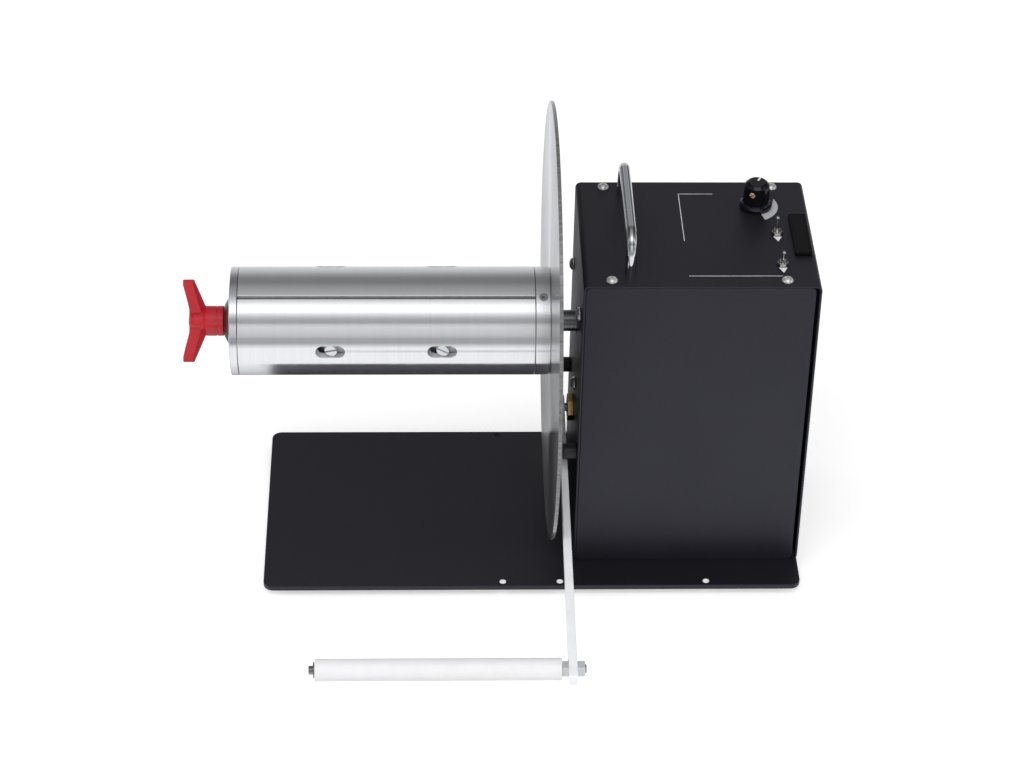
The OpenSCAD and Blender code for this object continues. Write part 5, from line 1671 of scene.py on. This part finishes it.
@dataclass
class Arm(Part):
    """The dancer arm, its pivot nut, its stops and its roller."""

    rest_deg: float = 11.987  # the arm's slope at rest
    length: float = 230.8  # distance from the pivot to the roller's axis
    tail: float = 10.0  # length of the bar past the roller's axis
    bar_h: float = 10.0  # height of the bar
    corner_r: float = 1.2  # radius of the bar's corners
    edge: float = 0.5  # rounding of the bar's rims
    taper: float = 0.72  # the bar's width at the pivot, as a share of its width at the roller
    boss_d: float = 17.0  # diameter of the round end at the pivot
    pivot_flats: float = 17.0  # width of the pivot's nut across its flats
    post_r: Pair = (5.5, 2.0)  # radii of a stop post and of its stud
    roller_r: Triple = (7.5, 5.0, 3.05)  # radii of the roller, of the recess in its end and of its bore
    recess: float = 3.0  # depth of that recess
    axle_r: float = 3.0  # radius of the axle
    nut_flats: float = 10.0  # width of the axle's nuts across their flats
    nut_turn: float = 11.0  # turn of those nuts
    clip_r: Pair = (5.5, 3.03)  # outer and inner radius of the axle's clip

    def build(self) -> None:
        """Makes every piece of the arm."""
        self.bar()
        self.posts()
        self.roller()
        self.axle()

    def bar(self) -> None:
        """Makes the flat bar with its round end, and the nut on its pivot.

        The bar's width grows evenly along its length, from the taper's share at the pivot to the full width.
        """
        box, nut, pivot = NodeBox.of("dancer_arm"), NodeBox.of("pivot_nut"), joint_at("dancer_arm")
        x0, x1, mid = box.lo[0], box.hi[0], box.mid[0]
        reach = self.length + self.tail
        outline = rounded(rectangle(reach, self.bar_h, -reach / 2), self.corner_r, steps=4)
        made = to_object("bar", prism(outline, x0, x1, self.edge, Axis.X))
        combine(made, [prism(circle(self.boss_d / 2), x0, x1, self.edge, Axis.X)], Cut.ADD)
        shape = shape_of(made)
        width = self.taper + (1 - self.taper) * np.clip(-shape.points[:, 1] / self.length, 0, 1)
        shape.points[:, 0] = mid + (shape.points[:, 0] - mid) * width
        shape = shape.turned(Axis.X, self.rest_deg).about(pivot)
        dress(to_object("arm_bar", shape), Body.ARM, BLASTED_METAL, "dancer_arm")
        shape = prism(hexagon(self.pivot_flats), nut.lo[0], nut.hi[0], 0.5, Axis.X).about(pivot)
        dress(to_object("brass_nut", shape), Body.FRAME, BRASS, "pivot_nut")

    def posts(self) -> None:
        """Turns the two rubber stop posts."""
        box, wall = NodeBox.of("stop_posts"), NodeBox.of("housing_wrap").lo[0]
        post = lathe(stepped([box.lo[0], wall, box.hi[0]], self.post_r), edge=0.6, steps=64)
        ys = (box.lo[1] + self.post_r[0], box.hi[1] - self.post_r[0])
        shape = Shape.joined([post.moved(0, y, box.mid[2]) for y in ys])
        dress(to_object("bumpers", shape), Body.FRAME, RUBBER, "stop_posts")

    def roller(self) -> None:
        """Turns the roller, with a recess in its free end."""
        box, (outside, recess, bore) = NodeBox.of("guide_roller"), self.roller_r
        x0, x1, floor = box.lo[0], box.hi[0], box.lo[0] + self.recess
        rim = [(x0, recess), (x0, outside), (x1, outside), (x1, bore), (floor, bore), (floor, recess)]
        shape = lathe(rim, edge=0.5).about(joint_at("guide_roller"))
        dress(to_object("roller", shape), Body.ROLLER, WHITE, "guide_roller")

    def axle(self) -> None:
        """Makes the roller's axle, its nuts on both sides of the bar and its clip."""
        bar, at = NodeBox.of("dancer_arm"), joint_at("guide_roller")
        axle, nuts, clip = (NodeBox.of(node) for node in ("roller_axle", "axle_nuts", "axle_clip"))
        shape = lathe(stepped([axle.lo[0], axle.hi[0]], [self.axle_r]), edge=0.5, steps=64)
        dress(to_object("axle", shape.about(at)), Body.ARM, STEEL, "roller_axle")
        pair = [(nuts.lo[0], bar.lo[0]), (bar.hi[0], nuts.hi[0])]
        shape = Shape.joined([prism(hexagon(self.nut_flats), *ends, 0.4, Axis.X) for ends in pair])
        shape = shape.turned(Axis.X, self.nut_turn).about(at)
        dress(to_object("hex_nuts", shape), Body.ARM, BRIGHT_ZINC, "axle_nuts")
        outer, inner = self.clip_r
        shape = lathe(stepped([clip.lo[0], clip.hi[0]], [outer], inner), edge=0.15, steps=64)
        dress(to_object("snap_ring", shape.about(at)), Body.ARM, STEEL, "axle_clip")


INSIDES: dict[Finish, tuple[str, ...]] = {
    STAINLESS: ("base_screws", "handle_screws", "motor_screws"),
    SATIN_METAL: ("bearing_housing", "spindle_pulley", "motor_pulley", "mandrel", "expander"),
    STEEL: (
        "bearing_outer_rings", "bearing_inner_rings", "bearing_balls", "motor_bracket", "motor_shaft",
        "pivot_shaft", "pot_shaft", "draw_screw", "draw_nut", "cross_pins", "return_spring",
    ),
    DARK_STEEL: ("gear_motor",),
    RUBBER: ("drive_belt",),
    BOARD: ("control_board",),
    NYLON: ("board_standoffs",),
    BLACK_PLASTIC: ("pot_body", "arm_sensor"),
    BRASS: ("pivot_bush",),
}


@dataclass
class Insides(Part):
    """The CAD nodes that stay as they are."""

    # the nodes of each finish
    finishes: dict[Finish, tuple[str, ...]] = field(default_factory=lambda: INSIDES)

    def build(self) -> None:
        """Gives each node its finish."""
        for finish, nodes in self.finishes.items():
            for name in nodes:
                made = frame["nodes"][name]
                made.data.materials.clear()
                made.data.materials.append(finish.material())


def main() -> None:
    """Builds the whole scene."""
    logging.basicConfig(level=logging.INFO)
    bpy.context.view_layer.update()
    for part in (Studio(), Base(), Housing(), Controls(), Chuck(), WingKnob(), Arm(), Insides()):
        LOG.info("building %s", type(part).__name__)
        part.build()


if __name__ == "__main__":
    main()
